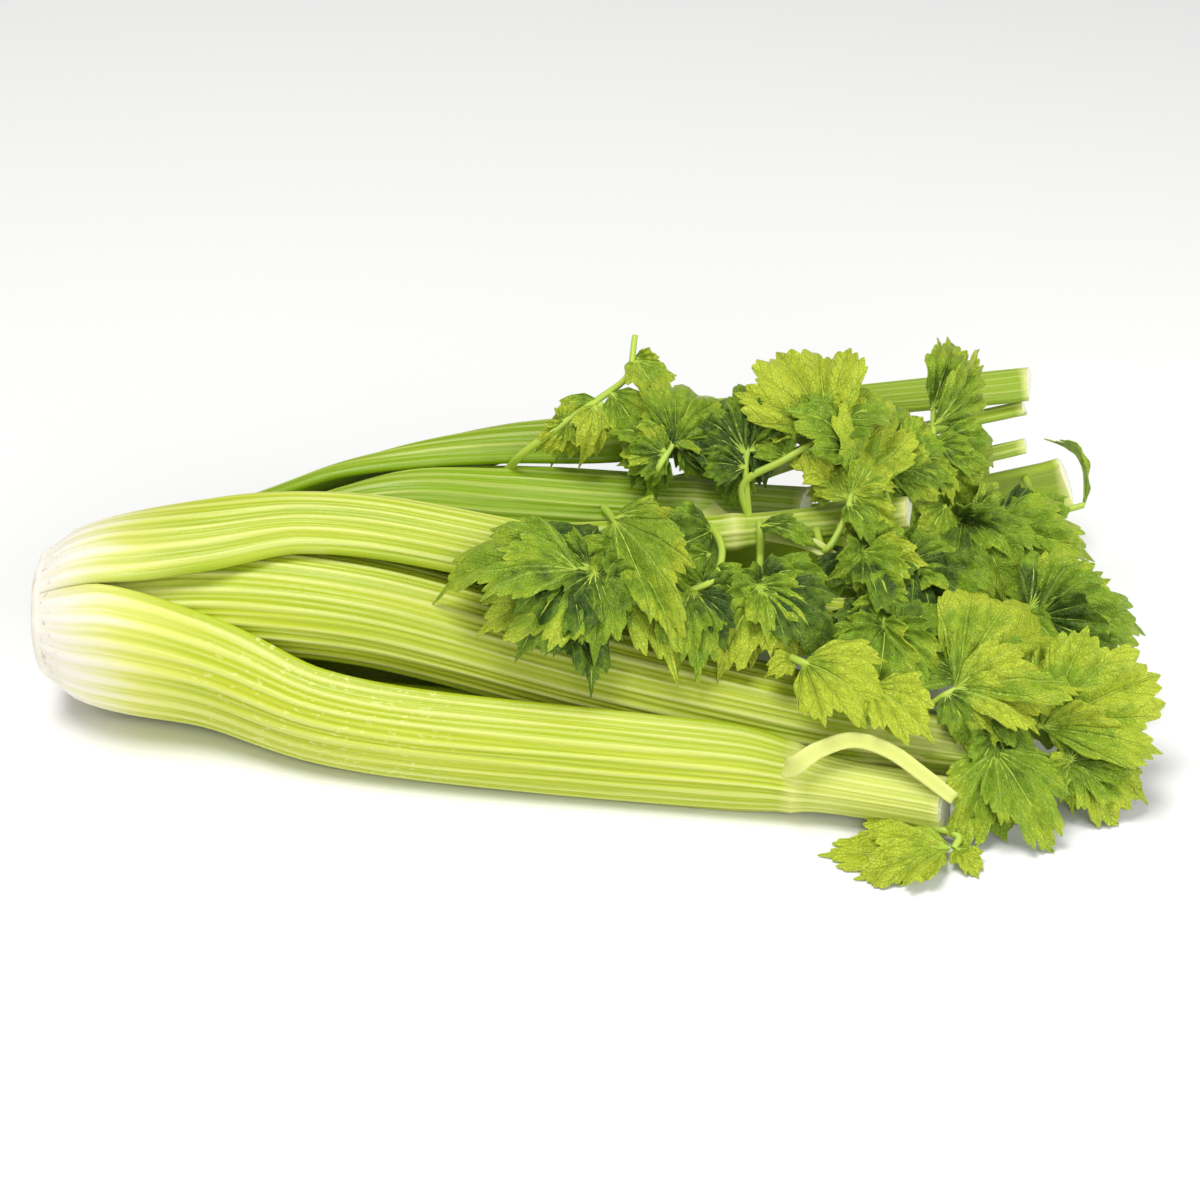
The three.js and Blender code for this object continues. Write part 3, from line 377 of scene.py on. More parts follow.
def along_keys(keys, x):
    """A smooth curve through keys (x, value, ...), read at every x."""
    k = np.asarray(keys, float)
    xs, v = k[:, 0], k[:, 1:]
    last = len(xs) - 1
    slope = np.array([
        (v[min(i + 1, last)] - v[max(i - 1, 0)]) / (xs[min(i + 1, last)] - xs[max(i - 1, 0)])
        for i in range(last + 1)
    ])
    i = np.clip(np.searchsorted(xs, x, side="right") - 1, 0, last - 1)
    h = (xs[i + 1] - xs[i])[:, None]
    u = (x - xs[i])[:, None] / h
    ends = (2 * u**3 - 3 * u**2 + 1) * v[i] + (3 * u**2 - 2 * u**3) * v[i + 1]
    return ends + (u**3 - 2 * u**2 + u) * h * slope[i] + (u**3 - u**2) * h * slope[i + 1]


def smooth_step(x, start, run):
    """Rises smoothly from 0 at start to 1, run further on."""
    t = np.clip((x - start) / run, 0, 1)
    return t * t * (3 - 2 * t)


def bell(x, middle, run):
    return np.exp(-(((x - middle) / run) ** 2))


def path_through(points, step):
    """A smooth line through points, with one point about every step."""
    p = np.asarray(points, float)
    run = np.concatenate([[0], np.cumsum(np.linalg.norm(np.diff(p, axis=0), axis=1))])
    count = max(int(run[-1] / step), 4)
    return along_keys(np.column_stack([run, p]), np.linspace(0, run[-1], count + 1))


def length_of(name, description, default, top, low=0.0):
    return bpy.props.FloatProperty(name=name, description=description, default=default, min=low, max=top,
                                   subtype="DISTANCE", unit="LENGTH")


def share_of(name, description, default, top):
    return bpy.props.FloatProperty(name=name, description=description, default=default, min=0, max=top,
                                   subtype="FACTOR")


def colour_of(name, description, code):
    return bpy.props.FloatVectorProperty(name=name, description=description, default=linear(code), min=0,
                                         max=1, subtype="COLOR", size=3)


class CelerySizes(bpy.types.PropertyGroup):
    """Sizes of the fine shapes that the stalks and leaves carry."""

    rib_depth: length_of("Rib depth", "Depth of the grooves between a stalk's ribs", 0.0009, 0.003)
    rib_sharpness: bpy.props.FloatProperty(
        name="Rib sharpness", description="Higher makes the ribs narrower than the grooves between them",
        default=1.6, min=0.5, max=5)
    lesser_ribs: share_of("Lesser ribs", "Height of the ribs between the main ones, as a share of theirs",
                          0.6, 1)
    rib_drift: bpy.props.FloatProperty(
        name="Rib drift", description="How far ribs stray from even spacing", default=3.8, min=0, max=8,
        subtype="ANGLE", unit="ROTATION")
    waviness: length_of("Waviness", "Height of the slow bumps along a stalk", 0.0005, 0.003)
    station_spacing: length_of("Station spacing", "Distance between the rings of a stalk's skin", 0.0046,
                               0.02, 0.001)
    points_per_rib: bpy.props.IntProperty(
        name="Points per rib", description="Points across each main rib", default=10, min=4, max=24)
    joint_swelling: length_of("Joint swelling", "How far the ring at a stalk's joint stands out", 0.0007,
                              0.003)
    blade_thickness: length_of("Blade thickness", "Thickness of a leaf blade", 0.0005, 0.002, 0.0002)
    stem_radius: length_of("Stem radius", "Radius of a leafy stem where it starts", 0.0016, 0.004, 0.0005)
    tooth_depth: share_of("Tooth depth", "Depth of a leaf's teeth, as a share of its length", 0.085, 0.2)
    ruffle: share_of("Ruffle", "Waviness of a leaf's margin, as a share of its length", 0.03, 0.1)
    crinkle: share_of("Crinkle", "Height of the bulges between veins, as a share of a leaf's length",
                      0.026, 0.1)
    buckle: share_of("Buckle", "Height of a leaf's broad waves, as a share of its length", 0.09, 0.3)
    understory: bpy.props.IntProperty(
        name="Understory", description="Lesser leaflets that grow under each large one", default=2, min=0,
        max=6)
    root_scars: bpy.props.IntProperty(
        name="Root scars", description="Stubs of cut rootlets round the crown", default=8, min=0, max=300)


class CeleryColours(bpy.types.PropertyGroup):
    """Colours of the skins, the cut flesh and the leaves."""

    # The two skin colours paint light and shade by a stalk's tone: bright on the front stalks in full light,
    # deep on the stalks further back, painted as shade. The grooves' own colour leans to the deep one too.
    skin_bright: colour_of("Skin, bright", "Front stalks, in full light", "#c9d334")
    skin_deep: colour_of("Skin, deep", "Stalks further back and deep in the grooves", "#86a60e")
    rib: colour_of("Ribs", "Strings along the stalks", "#e4e892")
    pale: colour_of("Pale skin", "Side branches and the skin past a joint", "#e9ea94")
    yellowed: colour_of("Yellowed skin", "Where the blanched foot turns green", "#e9ea80")
    root: colour_of("Root end", "Blanched foot of the stalks", "#fdf6e8")
    scar: colour_of("Scars", "Dried edges at the root", "#a9743c")
    scar_pale: colour_of("Scars, pale", "Lighter cork on the rootlet stubs", "#dcc498")
    root_ring: colour_of("Root rings", "Rings of string ends in the cut crown", "#d9d19a")
    root_edge: colour_of("Root edge", "Dried patches on the cut crown", "#c69a5e")
    flesh: colour_of("Cut flesh", "Freshly cut ends", "#f1f3cb")
    # From deep to bright, the leaf colours follow each blade's tone, which paints light and shade as well as
    # the blades' own variety: bright for blades in full light, deep for those in shade.
    leaf_bright: colour_of("Leaf, bright", "Young blades", "#bfce3a")
    leaf_mid: colour_of("Leaf, middle", "Most blades", "#84a628")
    leaf_deep: colour_of("Leaf, deep", "Old blades and those in shade", "#2d4c1a")
    leaf_back: colour_of("Leaf, underside", "Tint of the undersides", "#a3c178")
    vein: colour_of("Veins", "Veins and leaf stalks", "#b3d053")


class CeleryStage(bpy.types.PropertyGroup):
    """Floor, light and camera."""

    lens: bpy.props.FloatProperty(
        name="Focal length", description="Lens for a 36 mm wide picture", default=74.25, min=20, max=300)
    distance: length_of("Distance", "From the camera to the middle of the head", 0.9, 5, 0.2)
    height_angle: bpy.props.FloatProperty(
        name="Height angle", description="How steeply the camera looks down", default=math.radians(33),
        min=0, max=math.pi / 2, subtype="ANGLE", unit="ROTATION")
    aim: bpy.props.FloatVectorProperty(
        name="Aim", description="The point that the camera looks at", default=(0.0034, -0.001, 0.042),
        subtype="XYZ", unit="LENGTH")
    light: bpy.props.FloatProperty(
        name="Light", description="Strength of the large soft lamp", default=37.0, min=0, max=500,
        unit="POWER")
    sky: bpy.props.FloatProperty(
        name="Sky", description="Strength of the even light from all sides", default=0.3, min=0, max=5)
    floor_colour: colour_of("Floor", "Plain pale floor", "#f7f7f6")
    floor_mottle: colour_of("Floor mottling", "Faint spots on the floor", "#eeeeec")


def add(tree, kind, inputs=None, **settings):
    """A node of that kind. inputs maps a socket to its value, or to the socket that feeds it."""
    node = tree.nodes.new(kind)
    for name, value in settings.items():
        setattr(node, name, value)
    for key, value in (inputs or {}).items():
        for one in value if isinstance(value, list) else [value]:
            if isinstance(one, bpy.types.NodeSocket):
                tree.links.new(one, node.inputs[key])
            else:
                node.inputs[key].default_value = one
    return node


def math_of(tree, operation, a, b=0.0, c=0.0):
    return add(tree, "ShaderNodeMath", {0: a, 1: b, 2: c}, operation=operation).outputs[0]


def blend_of(tree, share, a, b, way="MIX"):
    """Colour a turning into colour b as share goes from 0 to 1."""
    return add(tree, "ShaderNodeMix", {0: share, 6: a, 7: b}, data_type="RGBA", blend_type=way).outputs[2]


def ramp_of(tree, value, start, end, low=0.0, high=1.0):
    """A smooth step of value between start and end."""
    return add(tree, "ShaderNodeMapRange", {0: value, 1: start, 2: end, 3: low, 4: high},
               interpolation_type="SMOOTHSTEP").outputs[0]


def product(tree, a, b):
    return math_of(tree, "MULTIPLY", a, b)


def hypotenuse(tree, a, b):
    return math_of(tree, "SQRT", math_of(tree, "MULTIPLY_ADD", a, a, product(tree, b, b)))


def noise_of(tree, place, detail, seed, scale=1.0):
    return add(tree, "ShaderNodeTexNoise", {"Vector": place, "W": seed, "Scale": scale, "Detail": detail},
               noise_dimensions="4D").outputs[0]


def relief_of(tree, height, strength, distance):
    return add(tree, "ShaderNodeBump", {
        "Strength": strength, "Distance": distance, "Height": height}).outputs[0]


def stretched_place(tree, scale):
    """Object coordinates, with each axis scaled."""
    place = add(tree, "ShaderNodeTexCoord").outputs["Object"]
    return add(tree, "ShaderNodeMapping", {"Vector": place, "Scale": scale}).outputs[0]


def speckle(tree, along, across, detail, seed):
    """Noise with about that many features to the metre, along the head and across it."""
    return noise_of(tree, stretched_place(tree, (along, across, across)), detail, seed)


def attribute(tree, name):
    return add(tree, "ShaderNodeAttribute", attribute_name=name).outputs["Fac"]


def stored_place(tree):
    """The three values stored for a place on a stalk or on a blade."""
    place = add(tree, "ShaderNodeAttribute", attribute_name="place").outputs["Vector"]
    return add(tree, "ShaderNodeSeparateXYZ", {0: place}).outputs


def grain_of(tree, along, across, seed, run, width, detail=2.0):
    """Noise drawn out along a stalk: features about run long, and width wide in shares of its back."""
    place = add(tree, "ShaderNodeCombineXYZ", {
        0: math_of(tree, "DIVIDE", along, run), 1: math_of(tree, "DIVIDE", across, width),
        2: seed}).outputs[0]
    return noise_of(tree, place, detail, 2.0)


def new_material(name):
    """A material and its node tree, still empty."""
    material = bpy.data.materials.new(name)
    material.use_nodes = True
    material.node_tree.nodes.clear()
    return material, material.node_tree


def surfaced(material, inputs):
    """The material, with a surface shader that is fed by inputs."""
    shader = add(material.node_tree, "ShaderNodeBsdfPrincipled", inputs)
    add(material.node_tree, "ShaderNodeOutputMaterial", {"Surface": shader.outputs[0]})
    return material


def skin_material(colours):
    """Celery skin: smooth, waxy and moist, grown over stringy ribs. Blanched white at the root."""
    material, tree = new_material("celery_skin")
    along, across, _ = stored_place(tree)
    rib, tone, pale = (attribute(tree, name) for name in ("rib", "tone", "pale"))
    seed = product(tree, tone, 40.0)
    # A stalk's back is about 50 mm round, so strings 0.6 mm wide are 0.025 of its half.
    strings = grain_of(tree, along, across, seed, 0.040, 0.025, 3.0)
    patches = grain_of(tree, along, across, seed, 0.070, 0.25)
    off = math_of(tree, "SUBTRACT", patches, 0.5)
    groove = math_of(tree, "SUBTRACT", 1.0, rib)
    # Painted shade: the higher a stalk's tone, the deeper green it is. Grooves, patches and the part far
    # from the root are deeper green too.
    deep = math_of(tree, "MULTIPLY_ADD", tone, 0.85, ramp_of(tree, along, 0.05, 0.34, 0.0, 0.2))
    deep = math_of(tree, "MULTIPLY_ADD", off, 0.9, deep)
    deep = math_of(tree, "MULTIPLY_ADD", groove, 0.28, deep)
    skin = blend_of(tree, deep, rgba(colours.skin_bright), rgba(colours.skin_deep))
    line = product(tree, ramp_of(tree, rib, 0.3, 1.0), ramp_of(tree, strings, 0.25, 0.65, 0.2, 0.7))
    # Stalks painted in shade show fainter strings.
    line = product(tree, line, ramp_of(tree, tone, 0.0, 1.0, 1.0, 0.45))
    skin = blend_of(tree, line, skin, rgba(colours.rib))
    fibres = product(tree, ramp_of(tree, strings, 0.52, 0.7), 0.25)
    skin = blend_of(tree, fibres, skin, rgba(colours.rib))
    # Short pale dashes, about 3 by 1 mm, where the front stalk bends away from the root.
    dashes = ramp_of(tree, grain_of(tree, along, across, seed, 0.0028, 0.045, 1.0), 0.62, 0.68)
    where = product(tree, ramp_of(tree, along, 0.045, 0.07), ramp_of(tree, along, 0.13, 0.17, 1.0, 0.0))
    where = product(tree, where, ramp_of(tree, tone, 0.05, 0.1, 0.6, 0.0))
    skin = blend_of(tree, product(tree, dashes, where), skin, rgba(colours.rib))
    skin = blend_of(tree, product(tree, pale, 0.8), skin, rgba(colours.pale))
    # Blanching fades first in the grooves: white, then yellow, then green.
    faded = math_of(tree, "MULTIPLY_ADD", off, 0.03, along)
    faded = math_of(tree, "MULTIPLY_ADD", groove, 0.014, faded)
    skin = blend_of(tree, ramp_of(tree, faded, 0.025, 0.075, 0.75, 0.0), skin, rgba(colours.yellowed))
    skin = blend_of(tree, ramp_of(tree, faded, 0.008, 0.046, 1.0, 0.0), skin, rgba(colours.root))
    # Dried flecks, 1 to 3 mm, only within a centimetre of the root cut.
    flecks = ramp_of(tree, speckle(tree, 260, 420, 3.0, 9.0), 0.56, 0.68)
    flecks = product(tree, flecks, ramp_of(tree, along, 0.001, 0.013, 0.45, 0.0))
    skin = blend_of(tree, flecks, skin, rgba(colours.scar))
    height = math_of(tree, "MULTIPLY_ADD", strings, 0.9, speckle(tree, 900, 1400, 2.0, 3.0))
    return surfaced(material, {
        "Base Color": skin, "Roughness": ramp_of(tree, strings, 0.3, 0.7, 0.3, 0.42), "IOR": 1.42,
        "Normal": relief_of(tree, height, 0.4, 0.0003), "Subsurface Weight": 0.12,
        "Subsurface Radius": (1.0, 1.0, 0.35), "Subsurface Scale": 0.002})


def flesh_material(colours):
    """Cut celery: wet pale pith, a green rim under the skin and a row of string ends."""
    material, tree = new_material("cut_celery_flesh")
    depth = stored_place(tree)[2]
    cells = speckle(tree, 900, 900, 3.0, 4.0)
    rim = ramp_of(tree, depth, 0.0, 0.22, 0.75, 0.0)
    colour = blend_of(tree, rim, rgba(colours.flesh), rgba(colours.skin_deep))
    ends = product(tree, ramp_of(tree, attribute(tree, "rib"), 0.6, 0.9),
                   ramp_of(tree, depth, 0.1, 0.3, 0.5, 0.0))
    colour = blend_of(tree, ends, colour, rgba(colours.leaf_deep))
    colour = blend_of(tree, product(tree, cells, 0.3), colour, rgba(colours.root))
    return surfaced(material, {
        "Base Color": colour, "Roughness": 0.38, "IOR": 1.38, "Normal": relief_of(tree, cells, 0.5, 0.0004),
        "Subsurface Weight": 0.15, "Subsurface Scale": 0.0015})


def vein_share(tree, a, b, reach):
    """Share of vein at a place on a blade: veins that leave the foot, and side veins that fork off them."""
    angle = math_of(tree, "DEGREES", math_of(tree, "ARCTAN2", b, a))
    nearest = product(tree, math_of(tree, "ROUND", math_of(tree, "DIVIDE", angle, VEIN_STEP)), VEIN_STEP)
    turn = math_of(tree, "RADIANS", math_of(tree, "SUBTRACT", angle, nearest))
    off = math_of(tree, "ABSOLUTE", product(tree, reach, math_of(tree, "SINE", turn)))
    run = product(tree, reach, math_of(tree, "COSINE", turn))
    width = ramp_of(tree, reach, 0.0, 1.0, 0.022, 0.009)
    main = ramp_of(tree, math_of(tree, "DIVIDE", off, width), 0.4, 1.0, 1.0, 0.0)
    # Eight side veins fork off along each main vein, and lean forward as they leave it.
    side = product(tree, math_of(tree, "SUBTRACT", run, product(tree, off, 1.5)), 8.0)
    side = ramp_of(tree, math_of(tree, "PINGPONG", side, 0.5), 0.02, 0.09, 0.55, 0.0)
    return math_of(tree, "MAXIMUM", main, side)


def leaf_material(name, colours, underside):
    """Celery leaf: thin, glossy and crinkled, with pale veins. The underside is paler and duller."""
    material, tree = new_material(name)
    a, b, tone = stored_place(tree)
    reach = hypotenuse(tree, a, b)
    vein = vein_share(tree, a, b, reach)
    patches = speckle(tree, 110, 110, 3.0, 6.0)
    # The net of fine veins has meshes about 1.2 mm wide, and the blade bulges between them.
    net = add(tree, "ShaderNodeTexVoronoi", {"Vector": stretched_place(tree, (1, 1, 1)), "Scale": 850.0},
              feature="DISTANCE_TO_EDGE").outputs["Distance"]
    net = ramp_of(tree, net, 0.0, 0.16, 1.0, 0.0)
    bulges = speckle(tree, 330, 330, 2.0, 4.0)
    # Painted light and shade: a blade's tone makes it darker or brighter, and its bulges are painted lighter
    # than the hollows between them. Patches vary it at random, and it is darker at its foot and lighter
    # towards its margin.
    share = math_of(tree, "MULTIPLY_ADD", math_of(tree, "SUBTRACT", patches, 0.5), 0.9, tone)
    share = math_of(tree, "MULTIPLY_ADD", math_of(tree, "SUBTRACT", bulges, 0.5), 0.5, share)
    share = math_of(tree, "ADD", share, ramp_of(tree, reach, 0.1, 0.95, -0.2, 0.2))
    colour = blend_of(tree, ramp_of(tree, share, 0.0, 0.55), rgba(colours.leaf_deep), rgba(colours.leaf_mid))
    colour = blend_of(tree, ramp_of(tree, share, 0.45, 1.0), colour, rgba(colours.leaf_bright))
    colour = blend_of(tree, product(tree, net, 0.12), colour, rgba(colours.vein))
    colour = blend_of(tree, product(tree, vein, 0.3), colour, rgba(colours.vein))
    if underside:
        colour = blend_of(tree, 0.4, colour, rgba(colours.leaf_back))
    # Veins are sunk into the face and stand out from the underside.
    main, fine, roughness = (1.0, 0.35, 0.5) if underside else (-0.9, -0.35, 0.3)
    height = math_of(tree, "MULTIPLY_ADD", net, fine, product(tree, bulges, 2.5))
    height = math_of(tree, "MULTIPLY_ADD", vein, main, height)
    return surfaced(material, {
        "Base Color": colour, "Roughness": roughness, "IOR": 1.42, "Specular IOR Level": 0.32,
        "Normal": relief_of(tree, height, 0.9, 0.0008), "Subsurface Weight": 0.15,
        "Subsurface Radius": (0.7, 1.0, 0.2), "Subsurface Scale": 0.001})


def stem_material(colours):
    """Leaf stems and veins: smooth, pale green and a little glossy."""
    material, tree = new_material("celery_leaf_stem")
    strings = speckle(tree, 500, 500, 3.0, 7.0)
    colour = blend_of(tree, ramp_of(tree, strings, 0.35, 0.65, 0.0, 0.55), rgba(colours.vein),
                      rgba(colours.leaf_bright))
    return surfaced(material, {
        "Base Color": colour, "Roughness": 0.4, "IOR": 1.41,
        "Normal": relief_of(tree, strings, 0.3, 0.0002)})


def root_material(colours):
    """Cut crown: dense cream flesh with rings of string ends, dried and browned towards its edge."""
    material, tree = new_material("celery_crown")
    place = add(tree, "ShaderNodeTexCoord").outputs["Object"]
    start = Vector(placed((0, 0, AXIS_HEIGHT)))
    centred = add(tree, "ShaderNodeMapping", {"Vector": place, "Location": -start}).outputs[0]
    depth, y, z = add(tree, "ShaderNodeSeparateXYZ", {0: centred}).outputs
    rough = speckle(tree, 420, 420, 4.0, 1.0)
    # The rings stand 6.4 mm apart and wander by up to 2 mm.
    wandering = math_of(tree, "ADD", hypotenuse(tree, y, z), product(tree, rough, 0.002))
    rings = ramp_of(tree, math_of(tree, "PINGPONG", wandering, 0.0032), 0.0024, 0.0031, 0.0, 0.25)
    colour = blend_of(tree, rings, rgba(colours.root), rgba(colours.root_ring))
    dirt = ramp_of(tree, speckle(tree, 150, 150, 4.0, 8.0), 0.48, 0.7)
    cut = ramp_of(tree, depth, -0.0012, 0.0006, 0.5, 0.15)
    colour = blend_of(tree, product(tree, dirt, cut), colour, rgba(colours.root_edge))
    return surfaced(material, {
        "Base Color": colour, "Roughness": 0.6, "IOR": 1.4, "Normal": relief_of(tree, rough, 0.6, 0.0008)})


def scar_material(colours):
    """Dried rootlet stubs: matt, corky and brown."""
    material, tree = new_material("dried_rootlet")
    cork = speckle(tree, 1200, 1200, 3.0, 2.0)
    colour = blend_of(tree, cork, rgba(colours.scar), rgba(colours.scar_pale))
    return surfaced(material, {
        "Base Color": colour, "Roughness": 0.8, "IOR": 1.45, "Normal": relief_of(tree, cork, 0.7, 0.0004)})


def floor_material(stage):
    """Matt painted board: plain and pale, with the faintest mottling."""
    material, tree = new_material("pale_floor")
    mottle = product(tree, speckle(tree, 6, 6, 2.0, 1.0), 0.05)
    colour = blend_of(tree, mottle, rgba(stage.floor_colour), rgba(stage.floor_mottle))
    return surfaced(material, {"Base Color": colour, "Roughness": 0.7, "Specular IOR Level": 0.2})


def new_tree(name, sockets):
    """A Geometry Nodes tree with a geometry input, the named inputs and a geometry output."""
    tree = bpy.data.node_groups.new(name, "GeometryNodeTree")
    tree.interface.new_socket("Geometry", in_out="INPUT", socket_type="NodeSocketGeometry")
    tree.interface.new_socket("Geometry", in_out="OUTPUT", socket_type="NodeSocketGeometry")
    for label, kind in sockets:
        tree.interface.new_socket(label, in_out="INPUT", socket_type="NodeSocket" + kind)
    return tree, tree.nodes.new("NodeGroupInput").outputs


def named(tree, name, kind="FLOAT"):
    return add(tree, "GeometryNodeInputNamedAttribute", {"Name": name}, data_type=kind).outputs[0]


def marked(tree, geometry, part):
    """The geometry with the number of its finish stored on its faces."""
    return add(tree, "GeometryNodeStoreNamedAttribute", {
        "Geometry": geometry, "Name": "part", "Value": part}, data_type="INT", domain="FACE").outputs[0]


def finished(tree, pieces, finishes):
    """Joins the pieces, makes them real and gives each numbered part its material."""
    joined = add(tree, "GeometryNodeJoinGeometry", {0: pieces}).outputs[0]
    result = add(tree, "GeometryNodeRealizeInstances", {0: joined}).outputs[0]
    for number, finish in enumerate(finishes):
        chosen = add(tree, "FunctionNodeCompare", {2: named(tree, "part", "INT"), 3: number},
                     data_type="INT", operation="EQUAL").outputs[0]
        result = add(tree, "GeometryNodeSetMaterial",
                     {"Geometry": result, "Selection": chosen, "Material": finish}).outputs[0]
    add(tree, "NodeGroupOutput", {0: result})


def tubes(tree, mesh, sides):
    """Round stems along the mesh's loose edges, as thick as their points say."""
    faces = tree.nodes.new("GeometryNodeInputMeshEdgeNeighbors").outputs[0]
    loose = add(tree, "FunctionNodeCompare", {2: faces, 3: 0}, data_type="INT", operation="EQUAL").outputs[0]
    line = add(tree, "GeometryNodeMeshToCurve", {"Mesh": mesh, "Selection": loose}).outputs[0]
    ring = add(tree, "GeometryNodeCurvePrimitiveCircle", {"Resolution": sides, "Radius": 1.0}).outputs[0]
    tube = add(tree, "GeometryNodeCurveToMesh", {
        "Curve": line, "Profile Curve": ring, "Scale": named(tree, "thick"), "Fill Caps": True}).outputs[0]
    return add(tree, "GeometryNodeSetShadeSmooth", {"Geometry": tube}).outputs[0]


def faces_of(tree, mesh):
    """The mesh without its loose edges."""
    everything = add(tree, "FunctionNodeInputBool", boolean=True).outputs[0]
    return add(tree, "GeometryNodeSeparateGeometry", {"Geometry": mesh, "Selection": everything},
               domain="FACE").outputs[0]


def stalk_tree():
    """Raises the ribs of a stalk's back and makes its skin wavy."""
    tree, given = new_tree("Celery stalk", [
        ("Rib Count", "Int"), ("Rib Depth", "Float"), ("Rib Sharpness", "Float"), ("Lesser Ribs", "Float"),
        ("Rib Drift", "Float"), ("Waviness", "Float"), ("Seed", "Float"), ("Skin", "Material"),
        ("Flesh", "Material")])
    across = named(tree, "across")
    uneven = add(tree, "ShaderNodeCombineXYZ", {
        0: product(tree, across, given["Rib Count"]),
        1: product(tree, named(tree, "along"), 12.0)}).outputs[0]
    uneven = noise_of(tree, uneven, 1.0, given["Seed"], 0.8)
    turn = product(tree, product(tree, across, math.pi), given["Rib Count"])
    turn = math_of(tree, "MULTIPLY_ADD", math_of(tree, "SUBTRACT", uneven, 0.5), given["Rib Drift"], turn)
    crests = []
    for times in (1.0, 2.0):
        wave = math_of(tree, "COSINE", product(tree, turn, times))
        wave = math_of(tree, "MULTIPLY_ADD", wave, 0.5, 0.5)
        crests.append(math_of(tree, "POWER", wave, given["Rib Sharpness"]))
    crest = math_of(tree, "MAXIMUM", crests[0], product(tree, crests[1], given["Lesser Ribs"]))
    mask = named(tree, "mask")
    # The slow bumps are about 45 mm long and 14 mm wide.
    place = add(tree, "GeometryNodeInputPosition").outputs[0]
    slow = add(tree, "ShaderNodeVectorMath", {0: place, 1: (22, 70, 70)}, operation="MULTIPLY").outputs[0]
    slow = math_of(tree, "SUBTRACT", noise_of(tree, slow, 1.0, given["Seed"]), 0.5)
    groove = product(tree, math_of(tree, "SUBTRACT", crest, 1.0), given["Rib Depth"])
    lift = math_of(tree, "ADD", groove, product(tree, slow, given["Waviness"]))
    lift = product(tree, product(tree, lift, mask), named(tree, "strength"))
    normal = add(tree, "GeometryNodeInputNormal").outputs[0]
    offset = add(tree, "ShaderNodeVectorMath", {0: normal, "Scale": lift}, operation="SCALE").outputs[0]
    skin = faces_of(tree, given["Geometry"])
    skin = add(tree, "GeometryNodeStoreNamedAttribute", {
        "Geometry": skin, "Name": "rib", "Value": product(tree, crest, mask)},
        data_type="FLOAT", domain="POINT").outputs[0]
    skin = add(tree, "GeometryNodeSetPosition", {"Geometry": skin, "Offset": offset}).outputs[0]
    finished(tree, [skin], [given["Skin"], given["Flesh"]])
    return tree


def leaf_tree():
    """Gives leaf blades their thickness and a duller underside, and grows stems and veins along lines."""
    tree, given = new_tree("Celery leaves", [
        ("Blade Thickness", "Float"), ("Stem Sides", "Int"), ("Blade", "Material"),
        ("Underside", "Material"), ("Stem", "Material")])
    sheet = faces_of(tree, given["Geometry"])
    normal = add(tree, "GeometryNodeInputNormal").outputs[0]
    down = add(tree, "ShaderNodeVectorMath", {
        0: normal, "Scale": product(tree, given["Blade Thickness"], -0.5)},
        operation="SCALE").outputs[0]
    low = add(tree, "GeometryNodeSetPosition", {"Geometry": sheet, "Offset": down}).outputs[0]
    thick = add(tree, "GeometryNodeExtrudeMesh", {
        "Mesh": low, "Offset Scale": given["Blade Thickness"], "Individual": False})
    upper = add(tree, "GeometryNodeSetShadeSmooth", {
        "Geometry": thick.outputs["Mesh"], "Selection": thick.outputs["Side"],
        "Shade Smooth": False}).outputs[0]
    lower = add(tree, "GeometryNodeFlipFaces", {"Mesh": low}).outputs[0]
    blade = add(tree, "GeometryNodeJoinGeometry", {
        0: [marked(tree, upper, 0), marked(tree, lower, 1)]}).outputs[0]
    blade = add(tree, "GeometryNodeMergeByDistance", {"Geometry": blade, "Distance": 1e-6}).outputs[0]
    stems = marked(tree, tubes(tree, given["Geometry"], given["Stem Sides"]), 2)
    finished(tree, [blade, stems], [given["Blade"], given["Underside"], given["Stem"]])
    return tree


def crown_tree():
    """Scatters the stubs of cut rootlets round a crown."""
    tree, given = new_tree("Celery crown", [
        ("Scar Density", "Float"), ("Scar Size", "Float"), ("Seed", "Int"), ("Crown", "Material"),
        ("Scar", "Material")])
    spread = add(tree, "GeometryNodeDistributePointsOnFaces", {
        "Mesh": given["Geometry"], "Selection": named(tree, "rim", "BOOLEAN"),
        "Density": given["Scar Density"], "Seed": given["Seed"]})
    stub = add(tree, "GeometryNodeMeshCone", {
        "Vertices": 7, "Side Segments": 2, "Radius Top": 0.5, "Radius Bottom": 1.0, "Depth": 0.9}).outputs[0]
    size = add(tree, "FunctionNodeRandomValue", {2: 0.5, 3: 1.0, "Seed": given["Seed"]}).outputs[1]
    size = product(tree, size, given["Scar Size"])
    stubs = add(tree, "GeometryNodeInstanceOnPoints", {
        "Points": spread.outputs["Points"], "Instance": stub, "Rotation": spread.outputs["Rotation"],
        "Scale": size}).outputs[0]
    stubs = add(tree, "GeometryNodeRealizeInstances", {0: stubs}).outputs[0]
    finished(tree, [marked(tree, given["Geometry"], 0), marked(tree, stubs, 1)],
             [given["Crown"], given["Scar"]])
    return tree


def mesh_object(name, points, faces, edges=(), values=None):
    """A mesh object at the origin, its points in metres, with named values on its points."""
    mesh = bpy.data.meshes.new(name)
    mesh.from_pydata([tuple(p) for p in points], [tuple(e) for e in edges], [tuple(f) for f in faces])
    for label, value in (values or {}).items():
        value = np.asarray(value)
        kind = {"b": "BOOLEAN", "f": "FLOAT"}[value.dtype.kind] if value.ndim == 1 else "FLOAT_VECTOR"
        mesh.attributes.new(label, kind, "POINT").data.foreach_set(
            "vector" if value.ndim > 1 else "value", value.ravel())
    mesh.update()
    obj = bpy.data.objects.new(name, mesh)
    bpy.context.scene.collection.objects.link(obj)
    return obj


